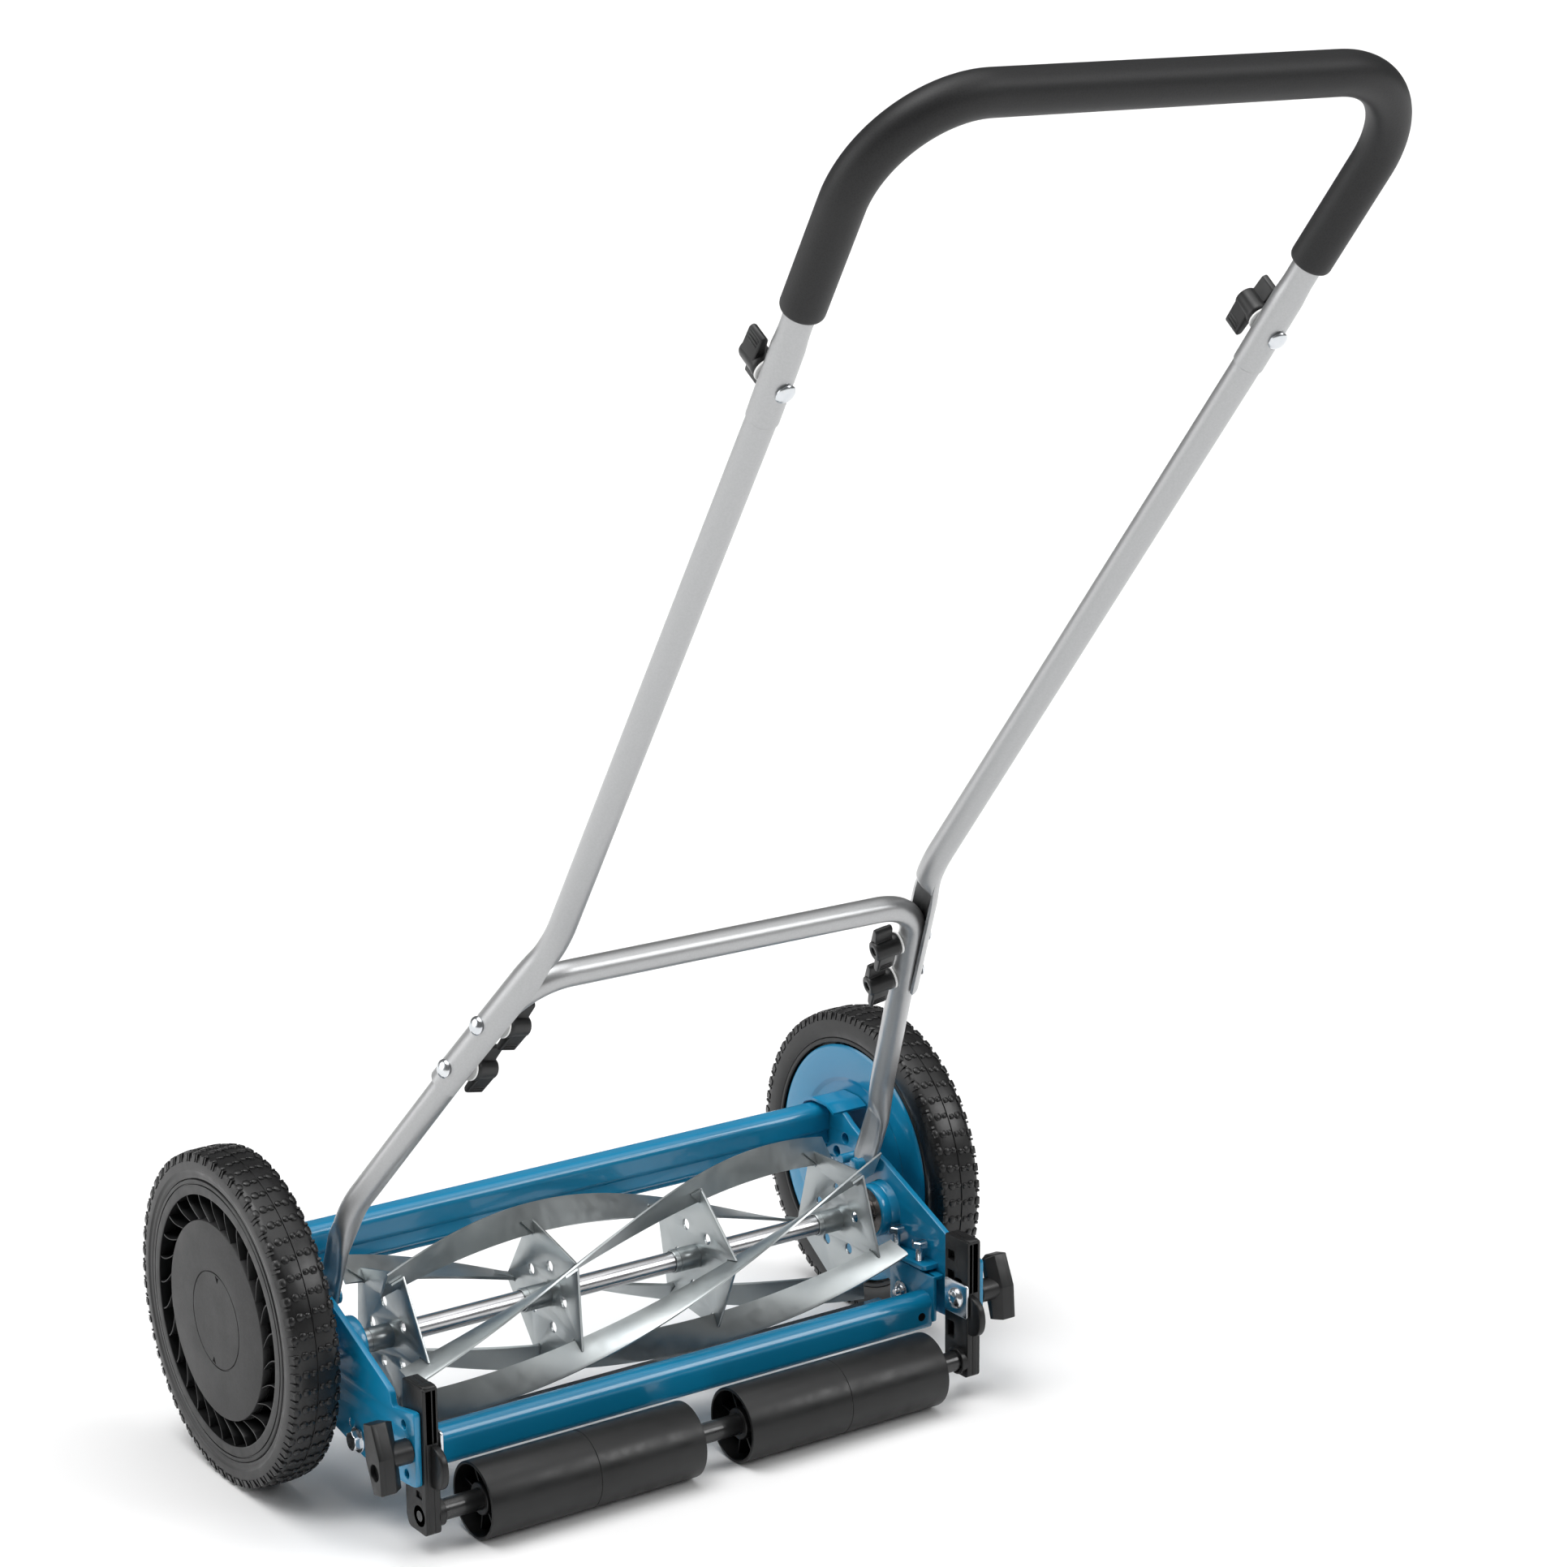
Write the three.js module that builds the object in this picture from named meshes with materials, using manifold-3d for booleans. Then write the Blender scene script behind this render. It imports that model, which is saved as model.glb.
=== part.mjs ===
// Push reel mower: two driven wheels, a five-blade reel, a bed knife, a split rear roller and a
// three-piece tube handle.
//
// Frame, in millimetres: +X is the operator's right, +Y the mowing direction and +Z up. The pieces
// are first laid out from the point on the ground midway below the wheel axles; the last lines move
// that layout so that the origin is the middle of the bounding box's underside.
import * as THREE from "three";
import { mergeVertices } from "three/addons/utils/BufferGeometryUtils.js";
import Module from "manifold-3d";

const wasm = await Module();
wasm.setup();

// ---------------------------------------------------------------- driving dimensions

const GAP = 0.3; // clearance between pieces that touch

const WHEEL_RADIUS = 125;
const TRACK = 566; // between the middles of the two treads
const TYRE_WIDTH = 38;
const RIM_RADIUS = 102.7;
const DRUM_RADIUS = 99; // inside of the wheel's drum
const VENT_OUTER = 93.1;
const CAP_RADIUS = 74.3;
const VENTS = 18;
const AXLE_RADIUS = 8;

const REEL_Y = -74;
const REEL_Z = 114.5;
const REEL_RADIUS = 69;
const REEL_HALF = 217; // half of a blade's length along the reel
const BLADES = 5;
const BLADE_WIDTH = 23;
const BLADE_THICKNESS = 2.2;
const BLADE_PHASE = 28.1; // degrees from straight up towards the rear, at the middle of the reel
const BLADE_TWIST = -0.3314; // degrees for each millimetre along +X
const SHAFT_RADIUS = 7.8;
const SPIDER_PLACES = [-199, -66.3, 66.3, 199];
const SPIDER_RADIUS = 58;

const RING_TEETH = 50;
const PINION_TEETH = 10;
const GEAR_DISTANCE = Math.hypot(REEL_Y, REEL_Z - WHEEL_RADIUS);
const GEAR_ANGLE = Math.atan2(REEL_Z - WHEEL_RADIUS, REEL_Y);
const MODULE = (2 * GEAR_DISTANCE) / (RING_TEETH - PINION_TEETH);
const GEAR_FACE = [272, 284];

const PLATE_IN = 243; // inner and outer faces of a side plate
const PLATE_OUT = 248;

const BED_PIVOT = { y: -114, z: 60 };
const BED_END_IN = 232; // inner and outer faces of the bed bar's end plates
const BED_END_OUT = 235;
const BED_END_TOP = 84;
const ADJUSTER_X = 236.2;
const LEDGE = { low: 86.5, high: 90.5 }; // the side plate's shelf for the adjusting screws

const ROLLER_RADIUS = 28.6;
const ROLLER_Y = -190;
const ROLLER_ENDS = [19.9, 199.9];
const BRACKET_IN = 230.7;
const BRACKET_OUT = PLATE_IN - GAP;
const BRACKET_Y = [-200, -171];
const CLAMP = { y: -188, z: 79 };
const HEIGHT_TRAVEL = 10; // up and down from the height shown

const TUBE_RADIUS = 9.5;
const TUBE_BORE = 8;
const FOAM_RADIUS = 13.8;
const GUTTER_THICKNESS = { lower: 3, upper: 2 };
const GUTTER_REACH = { lower: 80, upper: 62 }; // degrees round the wrapped tube, to each side
const GUTTER_OFFSET = { lower: 3, upper: 2.2 }; // from the axis of the wrapped tube to the axis of the other
const HANDLE_PIVOT = { y: -54, z: 146 };
const SPADE_X = 238;
const SPADE_HALF_WIDTH = 12.5;
const SPADE_THICKNESS = 5;
const LEG_BEND = new THREE.Vector3(231.5, -88.7, 226.5);
const LEG_CORNER = new THREE.Vector3(165.8, -221.9, 413);
const MIDDLE_BEND = new THREE.Vector3(153.7, -248.8, 444.9);
const UPPER_BOLT = new THREE.Vector3(187.6, -561.4, 862.5);
const GRIP_CORNER = new THREE.Vector3(201.3, -682.851, 1029);
const LOWER_BOLTS = [45, 90]; // from the lower handle's corner down its leg

const COLOURS = {
  blue: { color: 0x1d7ab4, roughness: 0.3, metalness: 0.1 },
  black: { color: 0x26282a, roughness: 0.6, metalness: 0 },
  rubber: { color: 0x1c1d1e, roughness: 0.85, metalness: 0 },
  galvanised: { color: 0xa9b0b3, roughness: 0.38, metalness: 0.9 },
  steel: { color: 0xc2c5c8, roughness: 0.25, metalness: 1 },
  zinc: { color: 0xd0d4d6, roughness: 0.3, metalness: 1 },
  silver: { color: 0xb9bdbf, roughness: 0.42, metalness: 0.75 },
  foam: { color: 0x202123, roughness: 0.95, metalness: 0 },
};

// ---------------------------------------------------------------- solids and placing

const ROD_SEGMENTS = 16;

const radians = THREE.MathUtils.degToRad;

function solidOf(geometry) {
  const bare = geometry.clone();
  bare.deleteAttribute("normal");
  bare.deleteAttribute("uv");
  const merged = mergeVertices(bare, 1e-4);
  return new wasm.Manifold(
    new wasm.Mesh({
      numProp: 3,
      vertProperties: merged.getAttribute("position").array,
      triVerts: new Uint32Array(merged.index.array),
    }),
  );
}

function geometryOf(solid) {
  const { vertProperties, triVerts } = solid.getMesh();
  const geometry = new THREE.BufferGeometry();
  geometry.setAttribute("position", new THREE.BufferAttribute(Float32Array.from(vertProperties), 3));
  geometry.setIndex(new THREE.BufferAttribute(Uint32Array.from(triVerts), 1));
  geometry.computeVertexNormals();
  return geometry;
}

function joined(first, ...others) {
  return geometryOf(others.reduce((sum, other) => sum.add(solidOf(other)), solidOf(first)));
}

function cut(body, ...tools) {
  return geometryOf(tools.reduce((rest, tool) => rest.subtract(solidOf(tool)), solidOf(body)));
}

// A solid turned about the X axis through (y, z). The profile lists [radius, x]; it starts and ends
// on the axis, or is closed here into a ring.
function turned(profile, segments, y = 0, z = 0) {
  const points = profile.map(([radius, x]) => new THREE.Vector2(radius, x));
  if (THREE.ShapeUtils.area(points) < 0) points.reverse();
  const onAxis = points[0].x === 0 || points.at(-1).x === 0;
  if (!onAxis) points.push(points[0].clone());
  while (onAxis && points.at(-1).x !== 0) points.push(points.shift());
  return new THREE.LatheGeometry(points, segments).rotateZ(-Math.PI / 2).translate(0, y, z);
}

// A plain round rod along X.
function rod(radius, fromX, toX, y = 0, z = 0, segments = ROD_SEGMENTS) {
  const length = toX - fromX;
  const middle = (fromX + toX) / 2;
  return new THREE.CylinderGeometry(radius, radius, length, segments)
    .rotateZ(-Math.PI / 2)
    .translate(middle, y, z);
}

function box(low, high) {
  const size = high.map((value, axis) => value - low[axis]);
  const middle = high.map((value, axis) => (value + low[axis]) / 2);
  return new THREE.BoxGeometry(...size).translate(...middle);
}

function shapeOf(outline) {
  return new THREE.Shape(outline.map(([u, v]) => new THREE.Vector2(u, v)));
}

// A flat outline in (y, z) given thickness along X.
const ALONG_X = new THREE.Matrix4().makeBasis(
  new THREE.Vector3(0, 1, 0),
  new THREE.Vector3(0, 0, 1),
  new THREE.Vector3(1, 0, 0),
);

function plate(shape, fromX, toX, curveSegments = 8) {
  const options = { depth: toX - fromX, bevelEnabled: false, curveSegments };
  return new THREE.ExtrudeGeometry(shape, options).applyMatrix4(ALONG_X).translate(fromX, 0, 0);
}

// The closed outline of sheet metal of one thickness that follows a line of points.
function sheetOutline(line, thickness) {
  const points = line.map(([u, v]) => new THREE.Vector2(u, v));
  const side = points.map((point, index) => {
    const before = points[Math.max(index - 1, 0)];
    const after = points[Math.min(index + 1, points.length - 1)];
    const into = point.clone().sub(before).normalize();
    const out = after.clone().sub(point).normalize();
    const along = into.clone().add(out).normalize();
    const widen = into.lengthSq() && out.lengthSq() ? 1 / along.dot(out) : 1;
    return new THREE.Vector2(-along.y, along.x).multiplyScalar((thickness / 2) * widen);
  });
  const front = points.map((point, index) => point.clone().add(side[index]));
  const back = points.map((point, index) => point.clone().sub(side[index])).reverse();
  return new THREE.Shape([...front, ...back]);
}

// A path of straight runs and round bends whose extrusion steps fall only where the path turns.
class BentPath extends THREE.Curve {
  constructor(corners, radii, stepsPerBend = 5) {
    super();
    this.places = [corners[0].clone()];
    for (let index = 1; index < corners.length - 1; index += 1) {
      this.addBend(corners[index - 1], corners[index], corners[index + 1], radii[index - 1], stepsPerBend);
    }
    this.places.push(corners.at(-1).clone());
  }

  addBend(before, corner, after, radius, steps) {
    const into = corner.clone().sub(before).normalize();
    const out = after.clone().sub(corner).normalize();
    const turn = Math.acos(THREE.MathUtils.clamp(into.dot(out), -1, 1));
    const reach = radius * Math.tan(turn / 2);
    const start = corner.clone().addScaledVector(into, -reach);
    const inward = out.clone().addScaledVector(into, -into.dot(out)).normalize();
    const count = Math.max(1, Math.round((steps * turn) / (Math.PI / 2)));
    for (let step = 0; step <= count; step += 1) {
      const angle = (turn * step) / count;
      const place = start.clone().addScaledVector(into, radius * Math.sin(angle));
      this.places.push(place.addScaledVector(inward, radius * (1 - Math.cos(angle))));
    }
  }

  get steps() {
    return this.places.length - 1;
  }

  getPoint(t, target = new THREE.Vector3()) {
    const along = t * this.steps;
    const index = Math.min(Math.floor(along), this.steps - 1);
    return target.lerpVectors(this.places[index], this.places[index + 1], along - index);
  }

  getPointAt(u, target) {
    return this.getPoint(u, target);
  }

  getTangentAt(u, target = new THREE.Vector3()) {
    const index = Math.round(u * this.steps);
    const before = this.places[Math.max(index - 1, 0)];
    const here = this.places[index];
    const after = this.places[Math.min(index + 1, this.steps)];
    const into = here.clone().sub(before).normalize();
    const out = after.clone().sub(here).normalize();
    return target.copy(into.add(out)).normalize();
  }
}

function roundSection(radius, sides) {
  const outline = [];
  for (let side = 0; side < sides; side += 1) {
    const angle = (2 * Math.PI * side) / sides;
    outline.push([radius * Math.cos(angle), radius * Math.sin(angle)]);
  }
  return shapeOf(outline);
}

function pipe(path, radius, sides) {
  const options = { steps: path.steps, extrudePath: path, bevelEnabled: false };
  return new THREE.ExtrudeGeometry(roundSection(radius, sides), options);
}

// Places geometry made along +Z, with its face at z = 0, so that +Z points along an axis.
function aimed(geometry, place, axis) {
  const turn = new THREE.Quaternion().setFromUnitVectors(new THREE.Vector3(0, 0, 1), axis);
  return geometry.clone().applyQuaternion(turn).translate(place.x, place.y, place.z);
}

function mesh(name, geometry, finish) {
  const made = new THREE.Mesh(geometry, new THREE.MeshStandardMaterial(COLOURS[finish]));
  made.name = name;
  return made;
}

function placed(made, x, y, z) {
  made.position.set(x, y, z);
  return made;
}

function sideName(sign) {
  return sign > 0 ? "right" : "left";
}

// Both sides: the pieces are made for +X, and the left group mirrors them.
function onBothSides(makePieces) {
  return [1, -1].map((sign) => {
    const group = new THREE.Group();
    group.scale.x = sign;
    group.add(...makePieces(sideName(sign)));
    return group;
  });
}

// ---------------------------------------------------------------- wheels and gears

const WHEEL_X = TRACK / 2;
const WEB = { low: 8, high: 12 }; // the wheel's web, outwards from the wheel's middle plane
const WHEEL_SEGMENTS = 32;

function tyre() {
  const half = TYRE_WIDTH / 2;
  const lip = RIM_RADIUS + 2.2;
  const profile = [
    [RIM_RADIUS + GAP, -half + 1.2],
    [RIM_RADIUS + 7, -half],
    [WHEEL_RADIUS - 6, -half],
    [WHEEL_RADIUS, -half + 5],
    [WHEEL_RADIUS, half - 5],
    [WHEEL_RADIUS - 6, half],
    [RIM_RADIUS + 7, half],
    [lip, half - 0.4],
    [lip, half - 3.8],
    [RIM_RADIUS + GAP, half - 3.8],
  ];
  return turned(profile, WHEEL_SEGMENTS);
}

// A tooth's outline points, from its root on one flank to its root on the other.
function toothPoints(middle, rootRadius, tipRadius, rootHalf, tipHalf) {
  return [
    [rootRadius, middle - rootHalf / rootRadius],
    [tipRadius, middle - tipHalf / tipRadius],
    [tipRadius, middle + tipHalf / tipRadius],
    [rootRadius, middle + rootHalf / rootRadius],
  ].map(([radius, angle]) => [radius * Math.cos(angle), radius * Math.sin(angle)]);
}

function ringGear() {
  const pitch = (MODULE * RING_TEETH) / 2;
  const shape = new THREE.Shape();
  shape.absarc(0, 0, DRUM_RADIUS + 1, 0, 2 * Math.PI, false);
  const teeth = [];
  for (let tooth = 0; tooth < RING_TEETH; tooth += 1) {
    const middle = GEAR_ANGLE + (2 * Math.PI * (tooth + 0.5)) / RING_TEETH;
    teeth.push(...toothPoints(middle, pitch + MODULE, pitch - 0.72 * MODULE, 3.1, 1.5));
  }
  shape.holes.push(new THREE.Path(teeth.map(([u, v]) => new THREE.Vector2(u, v))));
  return plate(shape, GEAR_FACE[0] - WHEEL_X, GEAR_FACE[1] - WHEEL_X, WHEEL_SEGMENTS / 2);
}

function pinion() {
  const pitch = (MODULE * PINION_TEETH) / 2;
  const outline = [];
  for (let tooth = 0; tooth < PINION_TEETH; tooth += 1) {
    const middle = GEAR_ANGLE + (2 * Math.PI * tooth) / PINION_TEETH;
    outline.push(...toothPoints(middle, pitch - MODULE, pitch + 0.75 * MODULE, 3.1, 1.2));
  }
  const shape = shapeOf(outline);
  shape.holes.push(new THREE.Path().absarc(0, 0, SHAFT_RADIUS + GAP, 0, 2 * Math.PI, true));
  return plate(shape, GEAR_FACE[0], GEAR_FACE[1]);
}

// One vent between two curved vanes of the wheel's web.
function vent(index) {
  const inner = CAP_RADIUS + 1.2;
  const outer = VENT_OUTER - 0.8;
  const vane = 0.9; // half of a vane's thickness
  const sweep = radians(7);
  const start = (2 * Math.PI * index) / VENTS;
  const width = (2 * Math.PI) / VENTS;
  const levels = [0, 1];
  const edge = (from, offset) =>
    levels.map((level) => {
      const radius = inner + (outer - inner) * level;
      const angle = from + sweep * (1 - level) ** 2 + offset / radius;
      return [radius * Math.cos(angle), radius * Math.sin(angle)];
    });
  const outline = [...edge(start, vane), ...edge(start + width, -vane).reverse()];
  return plate(shapeOf(outline), WEB.low - 1, WEB.high + 1);
}

function wheel() {
  const profile = [
    [AXLE_RADIUS + GAP, -12.5],
    [20, -12.5],
    [20, WEB.low],
    [DRUM_RADIUS, WEB.low],
    [DRUM_RADIUS, -18],
    [RIM_RADIUS, -18],
    [RIM_RADIUS, 18.2],
    [VENT_OUTER, 18.2],
    [VENT_OUTER, WEB.high],
    [14, WEB.high],
    [14, 5.3],
    [AXLE_RADIUS + GAP, 5.3],
  ];
  const drum = joined(turned(profile, WHEEL_SEGMENTS), ringGear());
  const vents = Array.from({ length: VENTS }, (_, index) => vent(index));
  return cut(drum, ...vents);
}

function hubCap() {
  const face = 18.8;
  const groove = [36, 37.2];
  const depth = 0.7;
  const profile = [
    [0, WEB.high + GAP],
    [CAP_RADIUS, WEB.high + GAP],
    [CAP_RADIUS, face],
    [groove[1], face],
    [groove[1], face - depth],
    [groove[0], face - depth],
    [groove[0], face],
    [0, face],
  ];
  return turned(profile, WHEEL_SEGMENTS);
}

function axle() {
  const profile = [
    [0, PLATE_IN - 3.7],
    [12, PLATE_IN - 3.7],
    [12, PLATE_IN - GAP],
    [AXLE_RADIUS, PLATE_IN - GAP],
    [AXLE_RADIUS, WHEEL_X + 5.6],
    [11.5, WHEEL_X + 5.6],
    [11.5, WHEEL_X + 11.6],
    [0, WHEEL_X + 11.6],
  ];
  return turned(profile, 16);
}

function wheelPieces(side) {
  return [
    placed(mesh(`tyre_${side}`, tyre(), "rubber"), WHEEL_X, 0, WHEEL_RADIUS),
    placed(mesh(`wheel_${side}`, wheel(), "black"), WHEEL_X, 0, WHEEL_RADIUS),
    placed(mesh(`hub_cap_${side}`, hubCap(), "black"), WHEEL_X, 0, WHEEL_RADIUS),
    placed(mesh(`axle_${side}`, axle(), "zinc"), 0, 0, WHEEL_RADIUS),
    placed(mesh(`pinion_${side}`, pinion(), "steel"), 0, REEL_Y, REEL_Z),
  ];
}

// ---------------------------------------------------------------- reel

// A strip that winds about the reel's axis, between two radii and of one thickness. Its middle is
// turned from the blade line by a shift along the arc, in millimetres at its outer radius.
function windingStrip(index, fromX, toX, inner, outer, thickness, shift, steps) {
  const positions = [];
  for (let step = 0; step <= steps; step += 1) {
    const x = fromX + ((toX - fromX) * step) / steps;
    const turn = radians(BLADE_PHASE + (360 / BLADES) * index + BLADE_TWIST * x);
    const middle = turn + shift / outer;
    const radial = new THREE.Vector2(-Math.sin(middle), Math.cos(middle));
    const across = new THREE.Vector2(-Math.cos(middle), -Math.sin(middle)).multiplyScalar(thickness / 2);
    for (const [radius, sense] of [[inner, -1], [outer, -1], [outer, 1], [inner, 1]]) {
      positions.push(x, radial.x * radius + across.x * sense, radial.y * radius + across.y * sense);
    }
  }
  const faces = [0, 2, 1, 0, 3, 2];
  const last = 4 * steps;
  faces.push(last, last + 1, last + 2, last, last + 2, last + 3);
  for (let step = 0; step < steps; step += 1) {
    for (let corner = 0; corner < 4; corner += 1) {
      const a = 4 * step + corner;
      const b = 4 * step + ((corner + 1) % 4);
      faces.push(a, b, a + 4, b, b + 4, a + 4);
    }
  }
  const geometry = new THREE.BufferGeometry();
  geometry.setAttribute("position", new THREE.Float32BufferAttribute(positions, 3));
  geometry.setIndex(faces);
  geometry.computeVertexNormals();
  return geometry;
}

function bladeStrip(index, inner, outer, thickness) {
  return windingStrip(index, -REEL_HALF, REEL_HALF, inner, outer, thickness, 0, 20);
}

function blade(index) {
  return bladeStrip(index, REEL_RADIUS - BLADE_WIDTH, REEL_RADIUS, BLADE_THICKNESS);
}

function spider(x) {
  const half = 1;
  const shape = new THREE.Shape();
  const fifth = 360 / BLADES;
  const onReel = (degrees, radius) => {
    const turn = radians(degrees);
    return [-radius * Math.sin(turn), radius * Math.cos(turn)];
  };
  const phase = BLADE_PHASE + BLADE_TWIST * x;
  const cornerAt = (_, index) => onReel(phase + fifth * index, SPIDER_RADIUS);
  const corners = Array.from({ length: BLADES }, cornerAt);
  shape.setFromPoints(corners.map(([y, z]) => new THREE.Vector2(y, z)));
  for (let index = 0; index < BLADES; index += 1) {
    const [y, z] = onReel(phase + fifth * (index + 0.5), 25);
    shape.holes.push(new THREE.Path().absarc(y, z, 4.2, 0, 2 * Math.PI, true));
  }
  const web = plate(shape, x - half, x + half, 3);
  const collar = rod(10.5, x - 3.5, x + 3.5, 0, 0, 12);
  const bore = rod(SHAFT_RADIUS + 0.6, x - 5, x + 5, 0, 0, 12);
  const tabs = [];
  const slots = [];
  const slotFoot = REEL_RADIUS - BLADE_WIDTH - GAP;
  for (let index = 0; index < BLADES; index += 1) {
    tabs.push(windingStrip(index, x - 14, x - half / 2, 46.5, 56.5, 2, 2.9, 1));
    slots.push(bladeStrip(index, slotFoot, REEL_RADIUS + 5, BLADE_THICKNESS + 2 * GAP));
  }
  return cut(joined(web, collar, ...tabs), bore, ...slots);
}

function reelShaft() {
  const clip = [GEAR_FACE[1] + 0.6, GEAR_FACE[1] + 2];
  const end = clip[1] + 1.4;
  const half = [
    [SHAFT_RADIUS, clip[0]],
    [11, clip[0]],
    [11, clip[1]],
    [SHAFT_RADIUS, clip[1]],
    [SHAFT_RADIUS, end],
    [0, end],
  ];
  const otherHalf = half.map(([radius, x]) => [radius, -x]).reverse();
  return turned([...otherHalf, ...half], ROD_SEGMENTS);
}

function reelPieces() {
  const group = new THREE.Group();
  group.position.set(0, REEL_Y, REEL_Z);
  group.add(mesh("reel_shaft", reelShaft(), "steel"));
  SPIDER_PLACES.forEach((x, index) => group.add(mesh(`reel_spider_${index + 1}`, spider(x), "galvanised")));
  for (let index = 0; index < BLADES; index += 1) {
    group.add(mesh(`reel_blade_${index + 1}`, blade(index), "galvanised"));
  }
  return group;
}

// ---------------------------------------------------------------- chassis

function sidePlateShape() {
  const shape = new THREE.Shape();
  shape.moveTo(-180, 51);
  shape.lineTo(-120, 48.5);
  shape.lineTo(-88, 55);
  shape.quadraticCurveTo(-30, 66, 14, 84);
  shape.quadraticCurveTo(52, 104, 48, 146);
  shape.quadraticCurveTo(42, 180, 8, 181);
  shape.quadraticCurveTo(-14, 181, -24, 174);
  shape.quadraticCurveTo(-36, 165, -75.6, 152);
  shape.lineTo(-160.5, 114.6);
  shape.lineTo(-163, 112);
  shape.lineTo(-164, 103.5);
  shape.lineTo(-182, 107);
  shape.lineTo(-195, 109);
  shape.lineTo(-197, 107);
  shape.lineTo(-197, 55);
  shape.lineTo(-195, 53);
  const holes = [
    [CLAMP.y, CLAMP.z, 4.4],
    [BED_PIVOT.y, BED_PIVOT.z, 4.4],
    [-181, 95.8, 3.4],
    [-183, 59.5, 3.4],
    [-26, 158, 4.2],
    [-15, 144, 4.2],
  ];
  for (const [y, z, radius] of holes) {
    shape.holes.push(new THREE.Path().absarc(y, z, radius, 0, 2 * Math.PI, true));
  }
  return shape;
}

function sidePlate() {
  const cupFace = PLATE_IN - 16;
  const cupBore = 15 + GAP;
  const discBack = WHEEL_X - 17.5;
  const disc = [
    [0, PLATE_IN + 1],
    [24, PLATE_IN + 1],
    [24, discBack + 2],
    [68, discBack + 2],
    [70, discBack],
    [97, discBack],
    [97, discBack + 2.5],
    [70, discBack + 2.5],
    [68, discBack + 4.5],
    [0, discBack + 4.5],
  ];
  const added = [
    turned(disc, WHEEL_SEGMENTS, 0, WHEEL_RADIUS),
    rod(21, cupFace, PLATE_IN + 1, REEL_Y, REEL_Z, 20),
    box([229, -146, LEDGE.low], [PLATE_IN + 1, -94, LEDGE.high]),
    rod(5, SPADE_X - 9, PLATE_IN + 1, HANDLE_PIVOT.y, HANDLE_PIVOT.z, 12),
    rod(6.5, SPADE_X - 9, SPADE_X - 6, HANDLE_PIVOT.y, HANDLE_PIVOT.z, 12),
    rod(4, SPADE_X - 9, PLATE_IN + 1, STOP_PIN.y, STOP_PIN.z, 12),
  ];
  const removed = [
    rod(AXLE_RADIUS + GAP, PLATE_IN - 1, discBack + 6, 0, WHEEL_RADIUS),
    rod(cupBore, cupFace - 1, PLATE_IN - 2, REEL_Y, REEL_Z, 20),
    rod(SHAFT_RADIUS + 1, cupFace - 1, discBack + 6, REEL_Y, REEL_Z),
    ...ADJUSTERS.map(({ y }) =>
      new THREE.CylinderGeometry(3.3, 3.3, 20, 10)
        .rotateX(Math.PI / 2)
        .translate(ADJUSTER_X, y, (LEDGE.low + LEDGE.high) / 2),
    ),
  ];
  return cut(joined(plate(sidePlateShape(), PLATE_IN, PLATE_OUT, 4), ...added), ...removed);
}

// The stop that the spade's front edge rests on, a little below the pivot.
const LEG_LINE = new THREE.Vector2(LEG_BEND.y - HANDLE_PIVOT.y, LEG_BEND.z - HANDLE_PIVOT.z).normalize();
const STOP_FORWARD = SPADE_HALF_WIDTH + GAP + 4;
const STOP_BELOW = 7.3;
const STOP_PIN = {
  y: HANDLE_PIVOT.y + LEG_LINE.y * STOP_FORWARD - LEG_LINE.x * STOP_BELOW,
  z: HANDLE_PIVOT.z - LEG_LINE.x * STOP_FORWARD - LEG_LINE.y * STOP_BELOW,
};

const ADJUSTERS = [
  { place: "rear", y: -131, head: 101 },
  { place: "front", y: -101, head: 104 },
];

function adjuster(head) {
  const tip = BED_END_TOP + GAP;
  const shank = new THREE.CylinderGeometry(3, 3, head + 1 - tip, 10)
    .rotateX(Math.PI / 2)
    .translate(0, 0, (head + 1 + tip) / 2);
  const hexagon = new THREE.CylinderGeometry(6.4, 6.4, 6, 6).rotateX(Math.PI / 2).translate(0, 0, head + 3);
  return cut(joined(shank, hexagon), box([-8, -0.9, head + 4], [8, 0.9, head + 8]));
}

function reelBearing() {
  const profile = [
    [SHAFT_RADIUS + GAP, PLATE_IN - 15.5],
    [15, PLATE_IN - 15.5],
    [15, PLATE_IN - 2 - GAP],
    [SHAFT_RADIUS + GAP, PLATE_IN - 2 - GAP],
  ];
  return turned(profile, 20, REEL_Y, REEL_Z);
}

// Head and washer outside the side plate, nut and washer inside the bed bar's end plate.
function bedPivotBolt() {
  const outside = PLATE_OUT + GAP;
  const inside = BED_END_IN - GAP;
  const profile = [
    [0, inside - 7.5],
    [3, inside - 7.5],
    [6, inside - 5],
    [6, inside - 1.5],
    [8, inside - 1.5],
    [8, inside],
    [4, inside],
    [4, outside],
    [9.5, outside],
    [9.5, outside + 1.6],
    [0, outside + 1.6],
  ];
  const hexagon = rod(7.5, outside + 1, outside + 6.6, 0, 0, 6);
  return joined(turned(profile, 10), hexagon);
}

function crossbar() {
  const line = [
    [13, 140.5],
    [6, 142],
    [2.5, 146],
    [1, 158],
    [0.5, 168],
    [3, 175],
    [9, 178],
    [17, 177],
    [23, 171],
    [28, 158],
    [31, 148],
  ];
  return plate(sheetOutline(line, 2.5), -BRACKET_OUT, BRACKET_OUT);
}

const KNIFE = { front: -88, back: -133, low: 43.3, high: 46.3, half: 228 };
const RIVETS = [-200, -100, 0, 100, 200];
const RIVET_Y = -114;

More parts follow.
